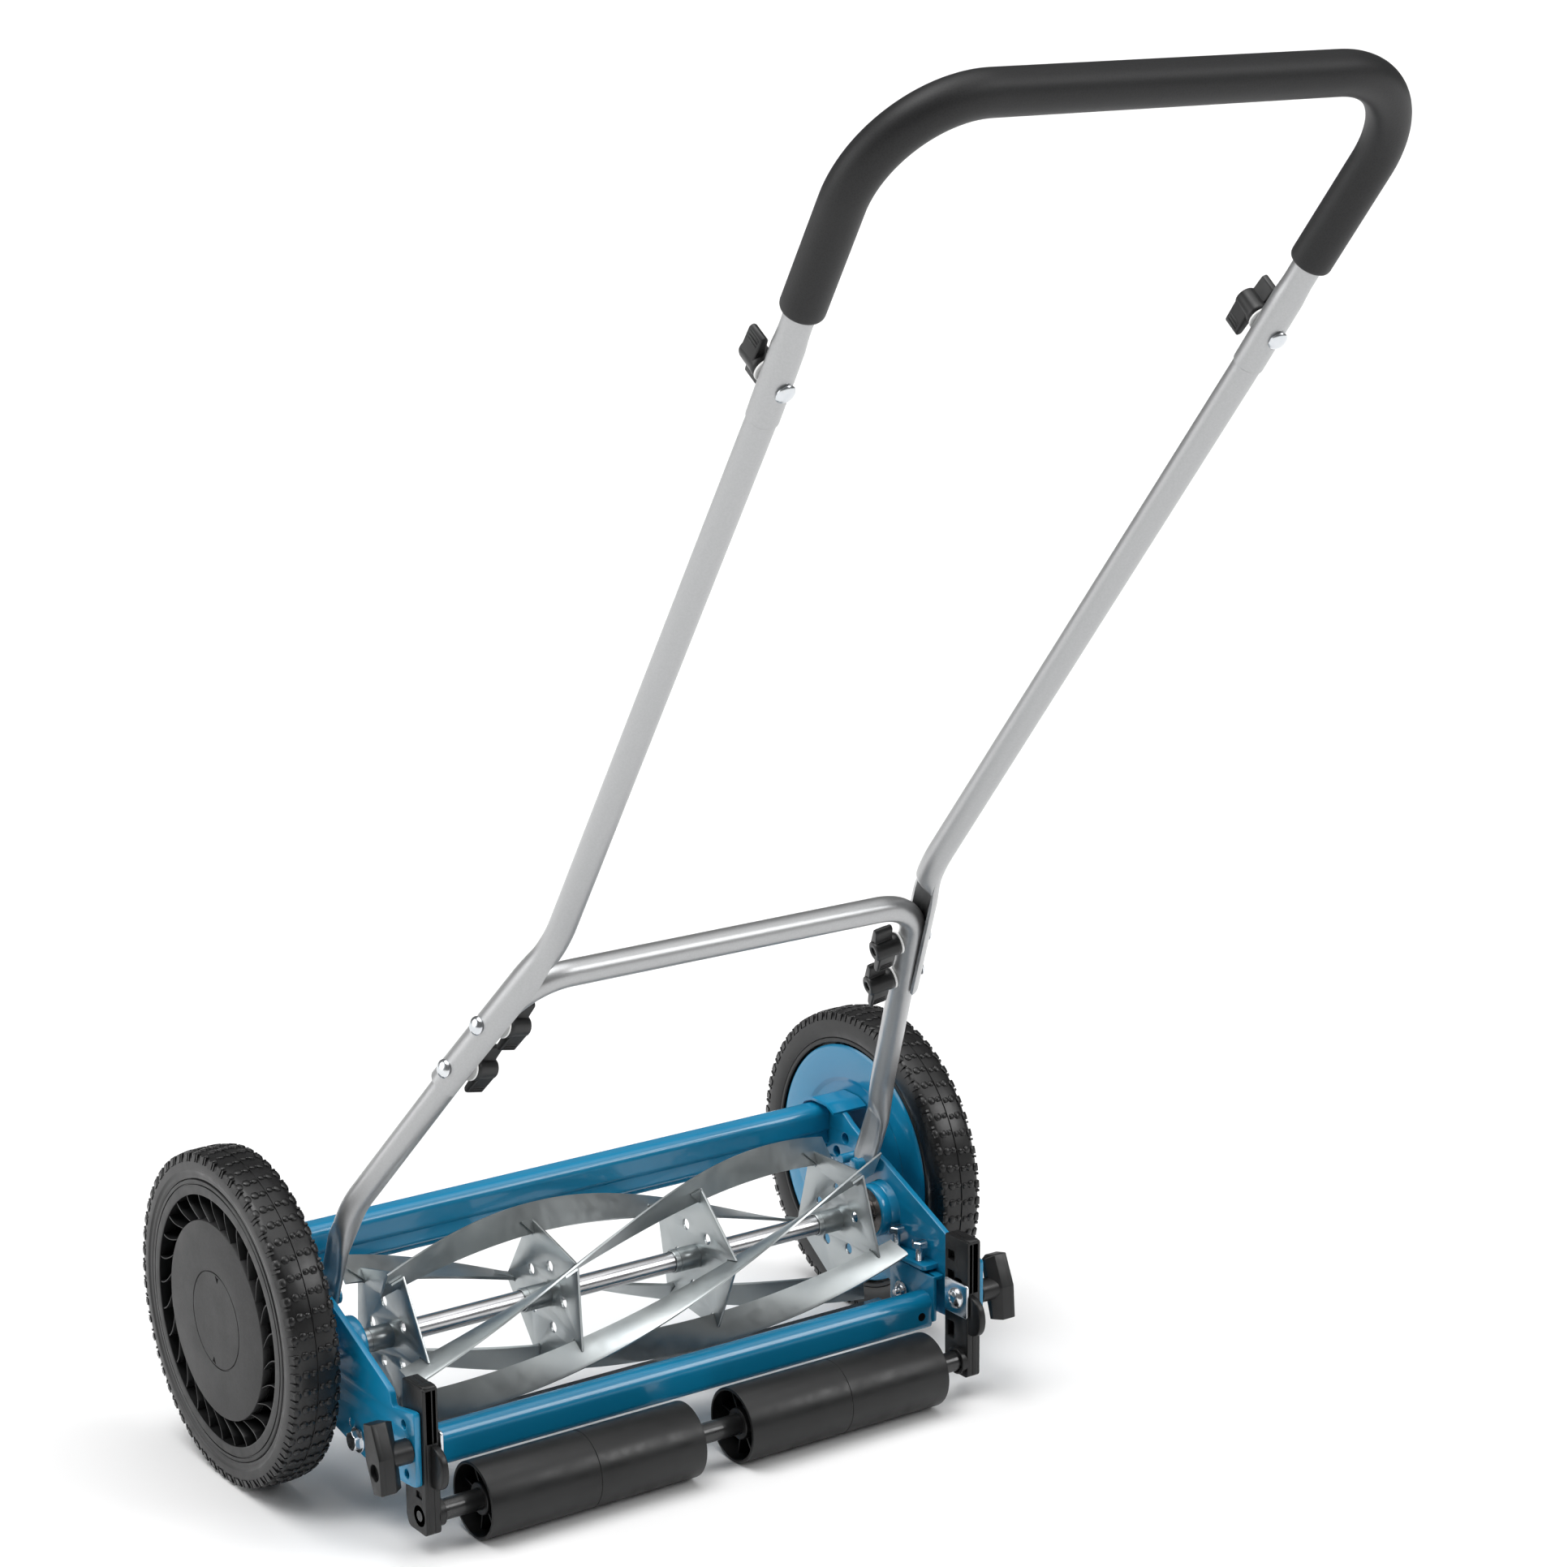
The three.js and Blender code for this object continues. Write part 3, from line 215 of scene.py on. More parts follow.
def flat(outline, holes=(), x0=0.0, x1=1.0, bevel=0.5, bevel_steps=2):
    """A flat (y, z) outline with holes, given thickness along X, with its edges rounded by bevel."""
    curve = bpy.data.curves.new("flat", "CURVE")
    curve.dimensions = "2D"
    curve.fill_mode = "BOTH"
    for loop in (outline, *holes):
        spline = curve.splines.new("POLY")
        spline.points.add(len(loop) - 1)
        flat_points = np.column_stack([np.asarray(loop, float), np.zeros(len(loop)), np.ones(len(loop))])
        spline.points.foreach_set("co", flat_points.ravel())
        spline.use_cyclic_u = True
    curve.extrude = (x1 - x0) / 2 - bevel
    curve.bevel_depth = bevel
    curve.bevel_resolution = bevel_steps
    curve.offset = -bevel
    made = bpy.data.objects.new("flat", curve)
    bpy.context.scene.collection.objects.link(made)
    evaluated = made.evaluated_get(bpy.context.evaluated_depsgraph_get())
    mesh = bpy.data.meshes.new_from_object(evaluated)
    points = np.empty(len(mesh.vertices) * 3)
    mesh.vertices.foreach_get("co", points)
    points = points.reshape(-1, 3)
    faces = [tuple(p.vertices) for p in mesh.polygons]
    bpy.data.objects.remove(made)
    bpy.data.curves.remove(curve)
    bpy.data.meshes.remove(mesh)
    return np.column_stack([(x0 + x1) / 2 + points[:, 2], points[:, 0], points[:, 1]]), faces


def bent(corners, radii, step=4.0, straight=40.0):
    """Points along a path of straight runs and round bends."""
    corners = [np.asarray(c, float) for c in corners]
    places = [corners[0]]
    for i in range(1, len(corners) - 1):
        into, out = unit(corners[i] - corners[i - 1]), unit(corners[i + 1] - corners[i])
        turn = math.acos(np.clip(into @ out, -1, 1))
        radius = radii[i - 1]
        start = corners[i] - into * radius * math.tan(turn / 2)
        inward = unit(out - into * (into @ out))
        count = max(4, int(radius * turn / step))
        for k in range(count + 1):
            angle = turn * k / count
            places.append(start + into * radius * math.sin(angle) + inward * radius * (1 - math.cos(angle)))
    places.append(corners[-1])
    dense = [places[0]]
    for a, b in zip(places, places[1:]):
        parts = max(1, int(np.linalg.norm(b - a) / straight))
        dense += [a + (b - a) * k / parts for k in range(1, parts + 1)]
    return np.array(dense)


def carried(path, first):
    """Tangents and two side directions along a path; first is the wanted direction of the first side."""
    tangents = np.gradient(path, axis=0)
    tangents /= np.linalg.norm(tangents, axis=1)[:, None]
    sides = []
    side = np.asarray(first, float)
    for t in tangents:
        side = unit(side - t * (side @ t))
        sides.append(side)
    sides = np.array(sides)
    return tangents, sides, np.cross(tangents, sides)


def tube(path, radius, first=(1, 0, 0), around=40, closed=False):
    """A round tube; radius is one number or one for each point."""
    path = np.asarray(path, float)
    _, a, b = carried(path, first)
    radius = np.broadcast_to(np.asarray(radius, float), len(path))[:, None, None]
    turn = np.arange(around) * 2 * math.pi / around
    rings = path[:, None] + radius * (np.cos(turn)[None, :, None] * a[:, None] + np.sin(turn)[None, :, None] * b[:, None])
    return loft(rings, closed=closed)


def hollow(path, radius, bore, depth=30.0, first=(1, 0, 0), around=40):
    """A tube whose two ends are open to some depth."""
    path = np.asarray(path, float)
    start, end = unit(path[1] - path[0]), unit(path[-1] - path[-2])
    inside = [path[0] + start * depth, path[0]]
    outside_in = [path[-1], path[-1] - end * depth]
    whole = np.vstack([inside, path[:1], path, path[-1:], outside_in])
    radii = np.r_[bore, bore, radius, np.full(len(path), radius), radius, bore, bore]
    tangents = np.vstack([[start] * 3, np.gradient(path, axis=0), [end] * 3])
    tangents /= np.linalg.norm(tangents, axis=1)[:, None]
    side, rings = np.asarray(first, float), []
    turn = np.arange(around) * 2 * math.pi / around
    for place, t, r in zip(whole, tangents, radii):
        side = unit(side - t * (side @ t))
        other = np.cross(t, side)
        rings.append(place + r * (np.cos(turn)[:, None] * side + np.sin(turn)[:, None] * other))
    return loft(rings)


MADE = {}


def piece(name, solid, body, look, nodes=(), bevel=0.0, angle=38.0, flip=1, segments=2):
    """A solid as a Blender object that rides on a body and stands for CAD nodes. flip -1 mirrors it to the left."""
    points, faces = solid
    points = np.asarray(points, float).reshape(-1, 3) * (flip, 1, 1)
    mesh = bpy.data.meshes.new(name)
    mesh.from_pydata(row(points).tolist(), [], faces)
    work = bmesh.new()
    work.from_mesh(mesh)
    bmesh.ops.remove_doubles(work, verts=work.verts, dist=2e-6)
    bmesh.ops.dissolve_degenerate(work, edges=work.edges, dist=1e-7)
    bmesh.ops.recalc_face_normals(work, faces=work.faces)
    work.to_mesh(mesh)
    work.free()
    mesh.materials.append(MATERIALS[look])
    mesh.shade_smooth()
    mesh.set_sharp_from_angle(angle=math.radians(angle))
    made = bpy.data.objects.new(name, mesh)
    bpy.context.scene.collection.objects.link(made)
    if bevel:
        edge = made.modifiers.new("edge", "BEVEL")
        edge.width = bevel * MM
        edge.segments = segments
        edge.limit_method = "ANGLE"
        edge.angle_limit = math.radians(35)
        edge.harden_normals = True
    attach(made, body)
    if nodes:
        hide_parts(*nodes)
    MADE[name] = made
    return made


# ---------------------------------------------------------------- materials

MATERIALS = {}


class Look:
    """A material built up from a Principled shader, with object coordinates in metres."""

    def __init__(self, name, base, roughness, metallic=0.0, **sockets):
        self.material = bpy.data.materials.new(name)
        self.material.use_nodes = True
        self.tree = self.material.node_tree
        self.shader = self.tree.nodes["Principled BSDF"]
        self.base = base
        self.set("Base Color", (*base, 1))
        self.set("Roughness", roughness)
        self.set("Metallic", metallic)
        for socket, value in sockets.items():
            self.set(socket.replace("_", " "), value)
        self.coordinates = self.tree.nodes.new("ShaderNodeTexCoord").outputs["Object"]
        self.normal = None
        MATERIALS[name] = self.material

    def set(self, socket, value):
        self.shader.inputs[socket].default_value = value

    def link(self, a, b):
        self.tree.links.new(a, b)

    def stretched(self, scale):
        mapping = self.tree.nodes.new("ShaderNodeMapping")
        mapping.inputs["Scale"].default_value = scale
        self.link(self.coordinates, mapping.inputs["Vector"])
        return mapping.outputs["Vector"]

    def noise(self, scale, detail=3.0, roughness=0.55, stretch=None):
        node = self.tree.nodes.new("ShaderNodeTexNoise")
        node.inputs["Scale"].default_value = scale
        node.inputs["Detail"].default_value = detail
        node.inputs["Roughness"].default_value = roughness
        self.link(self.stretched(stretch) if stretch else self.coordinates, node.inputs["Vector"])
        return node.outputs["Fac"]

    def cells(self, scale, feature="F1", output="Distance"):
        node = self.tree.nodes.new("ShaderNodeTexVoronoi")
        node.feature = feature
        node.inputs["Scale"].default_value = scale
        self.link(self.coordinates, node.inputs["Vector"])
        return node.outputs[output]

    def mapped(self, value, low, high, from_low=0.3, from_high=0.7):
        node = self.tree.nodes.new("ShaderNodeMapRange")
        for socket, number in (("From Min", from_low), ("From Max", from_high), ("To Min", low), ("To Max", high)):
            node.inputs[socket].default_value = number
        self.link(value, node.inputs["Value"])
        return node.outputs["Result"]

    def roughness(self, value, low, high, **span):
        self.link(self.mapped(value, low, high, **span), self.shader.inputs["Roughness"])
        return self

    def tint(self, value, dark, light, from_low=0.35, from_high=0.65):
        """Mixes two multiples of the base colour by value."""
        node = self.tree.nodes.new("ShaderNodeMix")
        node.data_type = "RGBA"
        colours = [s for s in node.inputs if s.type == "RGBA"]
        colours[0].default_value = (*[c * k for c, k in zip(self.base, dark)], 1)
        colours[1].default_value = (*[c * k for c, k in zip(self.base, light)], 1)
        self.link(self.mapped(value, 0, 1, from_low, from_high), node.inputs["Factor"])
        self.link([s for s in node.outputs if s.type == "RGBA"][0], self.shader.inputs["Base Color"])
        return self

    def bump(self, value, distance_mm, strength=1.0):
        node = self.tree.nodes.new("ShaderNodeBump")
        node.inputs["Strength"].default_value = strength
        node.inputs["Distance"].default_value = distance_mm * MM
        self.link(value, node.inputs["Height"])
        if self.normal is not None:
            self.link(self.normal, node.inputs["Normal"])
        self.normal = node.outputs["Normal"]
        self.link(self.normal, self.shader.inputs["Normal"])
        return self


def make_materials():
    blue = Look("blue", (0.006, 0.215, 0.4), 0.2, Coat_Weight=0.5, Coat_Roughness=0.05, IOR=1.42)
    blue.tint(blue.noise(9, 3), (0.95, 0.97, 0.98), (1.05, 1.03, 1.02))
    blue.roughness(blue.noise(40, 2), 0.17, 0.26)
    blue.bump(blue.noise(160, 2), 0.02, 0.3)

    black = Look("black", (0.009, 0.0092, 0.0095), 0.38, IOR=1.42)
    black.tint(black.noise(20, 4), (0.9, 0.9, 0.9), (1.25, 1.25, 1.25))
    black.roughness(black.noise(90, 3), 0.3, 0.44)
    black.bump(black.noise(1400, 2), 0.015, 0.5)

    cap = Look("cap", (0.026, 0.026, 0.0265), 0.5, IOR=1.4)
    cap.tint(cap.noise(500, 3), (0.88, 0.88, 0.88), (1.15, 1.15, 1.15))
    cap.roughness(cap.noise(30, 3), 0.46, 0.56)
    cap.bump(cap.noise(1500, 3), 0.05, 0.6)

    rubber = Look("rubber", (0.006, 0.006, 0.0063), 0.34, IOR=1.46)
    rubber.tint(rubber.noise(26, 5), (0.85, 0.85, 0.85), (1.35, 1.34, 1.32))
    rubber.roughness(rubber.noise(70, 3), 0.27, 0.4)
    rubber.bump(rubber.noise(900, 3), 0.015, 0.35)

    galvanised = Look("galvanised", (0.4, 0.425, 0.43), 0.34, metallic=0.9)
    galvanised.tint(galvanised.noise(30, 4), (0.92, 0.93, 0.94), (1.06, 1.06, 1.05))
    galvanised.roughness(galvanised.noise(120, 4), 0.28, 0.4)
    galvanised.bump(galvanised.noise(300, 4, stretch=(1, 4, 4)), 0.008, 0.4)

    steel = Look("steel", (0.5, 0.5, 0.51), 0.2, metallic=1.0)
    steel.tint(steel.noise(40, 3, stretch=(1, 6, 6)), (0.92, 0.92, 0.92), (1.05, 1.05, 1.05))
    steel.roughness(steel.noise(500, 2, stretch=(6, 1, 1)), 0.2, 0.26)

    bearing = Look("bearing", (0.17, 0.155, 0.145), 0.3, metallic=0.9)
    bearing.tint(bearing.noise(90, 4), (0.75, 0.73, 0.7), (1.35, 1.3, 1.28))
    bearing.roughness(bearing.noise(200, 3), 0.24, 0.4)

    zinc = Look("zinc", (0.66, 0.68, 0.7), 0.2, metallic=1.0)
    zinc.tint(zinc.noise(60, 3), (0.9, 0.91, 0.93), (1.05, 1.05, 1.05))
    zinc.roughness(zinc.noise(150, 3), 0.15, 0.27)

    silver = Look("silver", (0.42, 0.425, 0.43), 0.38, metallic=0.85, Coat_Weight=0.25, Coat_Roughness=0.15)
    silver.tint(silver.noise(700, 2), (0.97, 0.97, 0.97), (1.03, 1.03, 1.03))
    silver.roughness(silver.noise(900, 2), 0.36, 0.4)

    # painted shade: a near-black, rough material for flat marks that stand in for the shade inside holes and recessed
    # notches
    painted_shade = Look("painted_shade", (0.0015, 0.0015, 0.0015), 0.8, IOR=1.2)
    painted_shade.tint(painted_shade.noise(200, 2), (0.8, 0.8, 0.8), (1.2, 1.2, 1.2))

    washer = Look("washer", (0.8, 0.8, 0.79), 0.45)
    washer.tint(washer.noise(150, 3), (0.95, 0.95, 0.95), (1.03, 1.03, 1.03))

    black_paint = Look("black_paint", (0.012, 0.0125, 0.013), 0.3, Coat_Weight=0.3)
    black_paint.tint(black_paint.noise(40, 3), (0.85, 0.85, 0.85), (1.3, 1.3, 1.3))
    black_paint.roughness(black_paint.noise(150, 3), 0.26, 0.4)

    foam = Look("foam", (0.007, 0.007, 0.0075), 0.5, IOR=1.42)
    foam.tint(foam.cells(900), (0.7, 0.7, 0.7), (1.4, 1.4, 1.4), from_low=0.1, from_high=0.6)
    foam.bump(foam.cells(750), 0.06, 0.5).bump(foam.noise(160, 4), 0.06, 0.3)


# ---------------------------------------------------------------- wheels

TREAD_PITCHES = 56
TREAD_BASE = 123.8


def tyre_solid():
    """A carcass with rows of low tread blocks, shoulder lugs, a mould line and a smooth sidewall."""
    half = 19
    outer = [
        (RIM_R + GAP, -half + 1.4),
        (RIM_R + 2.5, -half + 0.4),
        (RIM_R + 7, -half),
        (WHEEL_R - 10, -half),
        (WHEEL_R - 6.6, -half + 0.5),
        (WHEEL_R - 4.2, -half + 1.4),
        (TREAD_BASE - 1.2, -half + 3.2),
        (TREAD_BASE - 0.4, -half + 6.5),
        (TREAD_BASE, -5),
        (TREAD_BASE, -0.6),
        (TREAD_BASE + 0.8, -0.35),
        (TREAD_BASE + 0.8, 0.35),
        (TREAD_BASE, 0.6),
        (TREAD_BASE, 5),
        (TREAD_BASE - 0.4, half - 6.5),
        (TREAD_BASE - 1.2, half - 3.2),
        (WHEEL_R - 4.2, half - 1.4),
        (WHEEL_R - 6.6, half - 0.5),
        (WHEEL_R - 10, half),
        (111.4, half),
        (110.6, half - 0.1),
        (110.0, half - 0.7),
        (RIM_R + 5, half - 0.9),
        (RIM_R + 3.6, half - 0.9),
        (RIM_R + 2.2, half - 1.6),
        (RIM_R + 2.2, half - 3.8),
        (RIM_R + GAP, half - 3.8),
    ]
    solids = [lathe(outer, 168, ring=True)]
    pitch = 2 * math.pi / TREAD_PITCHES

    def block(turn, x0, x1, around):
        """One block, its outline laid on the tyre and around mm long about the wheel."""
        middle, wide, tall = (x0 + x1) / 2, (x1 - x0) / 2, around / 2
        nose = min(1.7, wide * 0.5)
        outline = [
            (-wide + nose, -tall),
            (wide - nose, -tall),
            (wide, -tall * 0.35),
            (wide, tall * 0.35),
            (wide - nose, tall),
            (-wide + nose, tall),
            (-wide, tall * 0.35),
            (-wide, -tall * 0.35),
        ]
        rings = []
        for radius, inset in ((TREAD_BASE - 1.6, 0.0), (WHEEL_R - 0.4, 0.0), (WHEEL_R, 0.45)):
            ring = []
            for u, v in outline:
                x = middle + u * (1 - inset / wide)
                angle = turn + v * (1 - inset / tall) / radius
                sag = 0.011 * max(abs(x) - 5, 0) ** 2
                ring.append((x, (radius - sag) * math.cos(angle), (radius - sag) * math.sin(angle)))
            rings.append(ring)
        return loft(rings)

    def lug(turn, sign, tall):
        """A rib that runs from the tread's edge a little way down the shoulder."""
        corners = []
        for radius, wide, x in ((WHEEL_R - 1.7, tall, half - 1.3), (WHEEL_R - 7.5, tall * 0.8, half + 0.3)):
            for side in (-1, 1):
                angle = turn + side * wide / 2 / radius
                for reach in (x, half - 4):
                    corners.append((sign * reach, radius * math.cos(angle), radius * math.sin(angle)))
        quads = [(0, 2, 3, 1), (4, 5, 7, 6), (0, 4, 6, 2), (1, 3, 7, 5), (0, 1, 5, 4), (2, 6, 7, 3)]
        return np.array(corners), quads

    for n in range(TREAD_PITCHES):
        turn = n * pitch
        for sign in (-1, 1):
            shift = turn + sign * 1.1 / WHEEL_R
            for near, far, around in ((0.9, 5.4, 4.2), (6.4, 12.2, 5.6)):
                low, high = sorted((sign * near, sign * far))
                solids.append(block(shift, low, high, around))
            low, high = sorted((sign * 5, sign * 7))
            solids.append(block(shift, low, high, 2.4))
            low, high = sorted((sign * 13.3, sign * 18.2))
            solids.append(block(shift + sign * 1.6 / WHEEL_R, low, high, 6.2))
            solids.append(lug(shift + sign * 1.6 / WHEEL_R, sign, 6.0))
            solids.append(lug(shift + pitch / 2, sign, 1.6))
    return merge(*solids)


VENTS = 28


def wheel_solid():
    """Drum, rim, web with curved vanes, hub and internal gear."""
    low, high = 8, 12
    drum = [
        (VENT_OUTER, 18.2),
        (VENT_OUTER, low),
        (DRUM_R, low),
        (DRUM_R, -17.2),
        (DRUM_R + 0.8, -18),
        (RIM_R - 0.6, -18),
        (RIM_R, -17.4),
        (RIM_R, 15.6),
        (RIM_R + 1.7, 15.6),
        (RIM_R + 1.7, 17.4),
        (RIM_R + 1.1, 18.2),
        (101.4, 18.3),
        (101.1, 17.5),
        (100.5, 17.5),
        (100.2, 18.4),
        (94.2, 18.6),
        (93.6, 18.5),
    ]
    hub = [
        (8.3, -12.5),
        (19, -12.5),
        (20, -11.5),
        (20, 2.4),
        (DRUM_R + 0.4, 2.4),
        (DRUM_R + 0.4, 3.6),
        (CAP_R + 1, 3.6),
        (CAP_R + 1, high),
        (14, high),
        (14, 5.3),
        (8.3, 5.3),
    ]
    solids = [lathe(drum, 160, ring=True), lathe(hub, 96, ring=True)]
    # vanes: thin blades that sweep from the hub's disc to the rim
    face = 17.7
    for n in range(VENTS):
        start = 2 * math.pi * n / VENTS
        rings = []
        for level in np.linspace(0, 1, 10):
            radius = CAP_R + 0.4 + (VENT_OUTER + 0.4 - CAP_R) * level
            middle = start + math.radians(9.5) * (1 - level) ** 2.2
            thick = 0.5 + 0.3 * abs(level - 0.5)
            ring = []
            for side, x in ((-1, 3.2), (1, 3.2), (1, face - 0.3), (0.6, face), (-0.6, face), (-1, face - 0.3)):
                angle = middle + side * thick / radius
                ring.append((x, radius * math.cos(angle), radius * math.sin(angle)))
            rings.append(ring)
        solids.append(loft(rings))
    # internal gear
    module, teeth = 3.7371, 50
    mesh_angle = math.atan2(REEL_Z - WHEEL_R, REEL_Y)
    pitch = module * teeth / 2
    outline = []
    for tooth in range(teeth):
        middle = mesh_angle + 2 * math.pi * (tooth + 0.5) / teeth
        flank = ((pitch + module, 3.0), (pitch, 2.2), (pitch - 2.5, 1.3))
        outline += [(radius, middle - wide / radius) for radius, wide in flank]
        outline += [(radius, middle + wide / radius) for radius, wide in reversed(flank)]
    teeth_ring = np.array([(r * math.cos(a), r * math.sin(a)) for r, a in outline])
    back = np.array([((DRUM_R + 0.4) * math.cos(a), (DRUM_R + 0.4) * math.sin(a)) for _, a in outline])
    rings = []
    for ring, x in ((teeth_ring, -11), (teeth_ring, 1), (back, 1), (back, -11)):
        rings.append(np.column_stack([np.full(len(ring), x), ring]))
    solids.append(loft(rings, closed=True))
    return merge(*solids)


def cap_solid():
    """The hub's flat cap with its fine ring groove."""
    face = 18.3
    profile = [
        (0, 12.3),
        (CAP_R, 12.3),
        (CAP_R, face - 0.9),
        (CAP_R - 0.3, face - 0.3),
        (CAP_R - 1, face),
        (37.4, face),
        (37.1, face - 0.8),
        (36.5, face - 0.8),
        (36.2, face),
        (20, face + 0.1),
        (0, face + 0.1),
    ]
    return lathe(profile, 144)


def notch_solid():
    """Two small triangles just inside the cap's groove, given painted shade to stand in for two recessed notches."""
    arrows = []
    for turn in (98, 280):
        tip = np.array([(30.6, 0.6), (35.4, -2.6), (34.4, 0.4), (35.6, 2.4)])
        c, s = math.cos(math.radians(turn)), math.sin(math.radians(turn))
        spun_tip = tip @ np.array([[c, s], [-s, c]])
        arrows.append(prism(spun_tip, 17.8, 18.5))
    return merge(*arrows)


def hub_at(solid, turn=0.0):
    points, faces = solid
    c, s = math.cos(turn), math.sin(turn)
    spun = points.copy()
    spun[:, 1] = points[:, 1] * c - points[:, 2] * s
    spun[:, 2] = points[:, 1] * s + points[:, 2] * c
    return spun + (WHEEL_X, 0, WHEEL_R), faces


def make_wheels():
    tyre, wheel, cap = hub_at(tyre_solid()), hub_at(wheel_solid()), hub_at(cap_solid())
    notches = hub_at(notch_solid())
    for side, flip in SIDES.items():
        body = f"wheel_{side}"
        piece(f"tyre_look_{side}", tyre, body, "rubber", [f"tyre_{side}"], angle=50, flip=flip)
        piece(f"wheel_look_{side}", wheel, body, "black", [f"wheel_{side}"], angle=32, flip=flip)
        piece(f"hub_cap_look_{side}", cap, body, "cap", [f"hub_cap_{side}"], angle=30, flip=flip)
        # painted shade: the cap's two notches are dark triangles laid on its face, not cut into it
        piece(f"hub_notch_shade_{side}", notches, body, "painted_shade", flip=flip)


# ---------------------------------------------------------------- reel


def on_reel(degrees, radius, x):
    turn = math.radians(degrees)
    return np.array([x, REEL_Y - radius * math.sin(turn), REEL_Z + radius * math.cos(turn)])


def blade_solid(index):
    """A steel strip that winds along the reel, its cutting edge ground flat."""
    rings = []
    inner, outer, half = REEL_R - BLADE_WIDTH, REEL_R, 1.1
    profile = [
        (inner, -half),
        (inner + 0.3, -half),
        (outer - 2.2, -half),
        (outer, -half * 0.35),
        (outer, half),
        (inner + 0.3, half),
        (inner, half),
    ]
    for x in np.linspace(-REEL_HALF, REEL_HALF, 121):
        degrees = BLADE_PHASE + 72 * index + BLADE_TWIST * x
        radial = on_reel(degrees, 1, 0) - on_reel(degrees, 0, 0)
        across = np.array([0, -math.cos(math.radians(degrees)), -math.sin(math.radians(degrees))])
        rings.append([on_reel(degrees, 0, x) + radial * r + across * t for r, t in profile])
    return loft(rings)


def spider_solid(x):
    """A five-cornered sheet plate with a sleeve, five holes and a folded corner for each blade."""
    phase = BLADE_PHASE + BLADE_TWIST * x
    outline = []
    for n in range(5):
        corner = phase + 72 * n
        for radius, aside in ((54.8, -5.6), (57.2, -1.7), (45.0, -1.6), (45.0, 1.6), (57.2, 1.7), (54.8, 5.6)):
            turn = corner + math.degrees(aside / radius)
            outline.append(on_reel(turn, radius, x)[1:])
    holes = [circle(8.6, REEL_Y, REEL_Z, 40)]
    for n in range(5):
        centre = on_reel(phase + 72 * (n + 0.5), 25, x)
        holes.append(circle(4.3, centre[1], centre[2], 32))
    solids = [flat(outline, holes, x - 1, x + 1, bevel=0.3, bevel_steps=1)]
    for n in range(5):
        rings = []
        for step in np.linspace(0, 1, 7):
            along = x - 12 + 11.6 * step
            degrees = BLADE_PHASE + 72 * n + BLADE_TWIST * along
            reach = 0.8 + 11.2 * step
            ring = []
            for radius, thick in ((57.0 - reach, -0.9), (57.0, -0.9), (57.0, 0.9), (57.0 - reach, 0.9)):
                turn = degrees + math.degrees((2.4 + thick) / 56)
                ring.append(on_reel(turn, radius, along))
            rings.append(ring)
        solids.append(loft(rings))
    sleeve = [
        (8.15, x - 23),
        (8.8, x - 23),
        (9.1, x - 22.6),
        (9.1, x - 19.2),
        (8.7, x - 19.0),
        (8.7, x - 18.4),
        (9.1, x - 18.2),
        (9.1, x + 1.6),
        (8.8, x + 2.2),
        (8.15, x + 2.2),
    ]
    solids.append(lathe(sleeve, 64, REEL_Y, REEL_Z, ring=True))
    return merge(*solids)


def shaft_solid():
    profile = [(0, -287.4), (SHAFT_R - 0.6, -287.4), (SHAFT_R, -286.8)]
    for x in (-213.8, 213.8):
        profile += [(SHAFT_R, x - 1), (SHAFT_R - 0.4, x - 0.6), (SHAFT_R - 0.4, x + 0.6), (SHAFT_R, x + 1)]
    profile += [(SHAFT_R, 286.8), (SHAFT_R - 0.6, 287.4), (0, 287.4)]
    clips = []
    for sign in (-1, 1):
        ring = [(SHAFT_R, 284.6), (10.6, 284.6), (11, 285), (11, 285.6), (10.6, 286), (SHAFT_R, 286)]
        clips.append(lathe([(r, sign * v) for r, v in ring], 48, REEL_Y, REEL_Z, ring=True))
    return merge(lathe(profile, 64, REEL_Y, REEL_Z), *clips)


def make_reel():
    for n in range(5):
        piece(f"blade_look_{n + 1}", blade_solid(n), "reel", "galvanised", [f"reel_blade_{n + 1}"], angle=30)
    for n, x in enumerate(SPIDERS):
        piece(f"spider_look_{n + 1}", spider_solid(x), "reel", "galvanised", [f"reel_spider_{n + 1}"], angle=35)
    piece("reel_shaft_look", shaft_solid(), "reel", "steel", ["reel_shaft"], angle=40)


def basis(axis):
    """Two directions square to an axis."""
    axis = unit(axis)
    other = np.array([0, 0, 1.0]) if abs(axis[2]) < 0.9 else np.array([1.0, 0, 0])
    u = unit(np.cross(other, axis))
    return u, np.cross(axis, u)


def spun(profile, place, axis, around=40):
    """A profile of (radius, height) turned about an axis from place."""
    u, v = basis(axis)
    axis = unit(axis)
    turn = np.arange(around) * 2 * math.pi / around
    rings = []
    for radius, height in profile:
        rings.append(place + axis * height + radius * (np.cos(turn)[:, None] * u + np.sin(turn)[:, None] * v))
    return loft(rings, caps=True)


def dome(place, axis, radius, height, around=24):
    """A rivet or screw head: a low dome on its seat."""
    profile = [(radius, 0.0)]
    for step in range(1, 6):
        angle = math.pi / 2 * step / 6
        profile.append((radius * math.cos(angle), height * math.sin(angle)))
    return spun(profile, place, axis, around)


# ---------------------------------------------------------------- chassis


def arc(centre, radius, start, end, steps=12):
    turns = np.radians(np.linspace(start, end, steps))
    return [(centre[0] + radius * math.cos(t), centre[1] + radius * math.sin(t)) for t in turns]


def bezier(a, b, c, steps=14):
    t = np.linspace(0, 1, steps)[1:, None]
    a, b, c = (np.asarray(p, float) for p in (a, b, c))
    return [tuple(p) for p in (1 - t) ** 2 * a + 2 * t * (1 - t) * b + t * t * c]


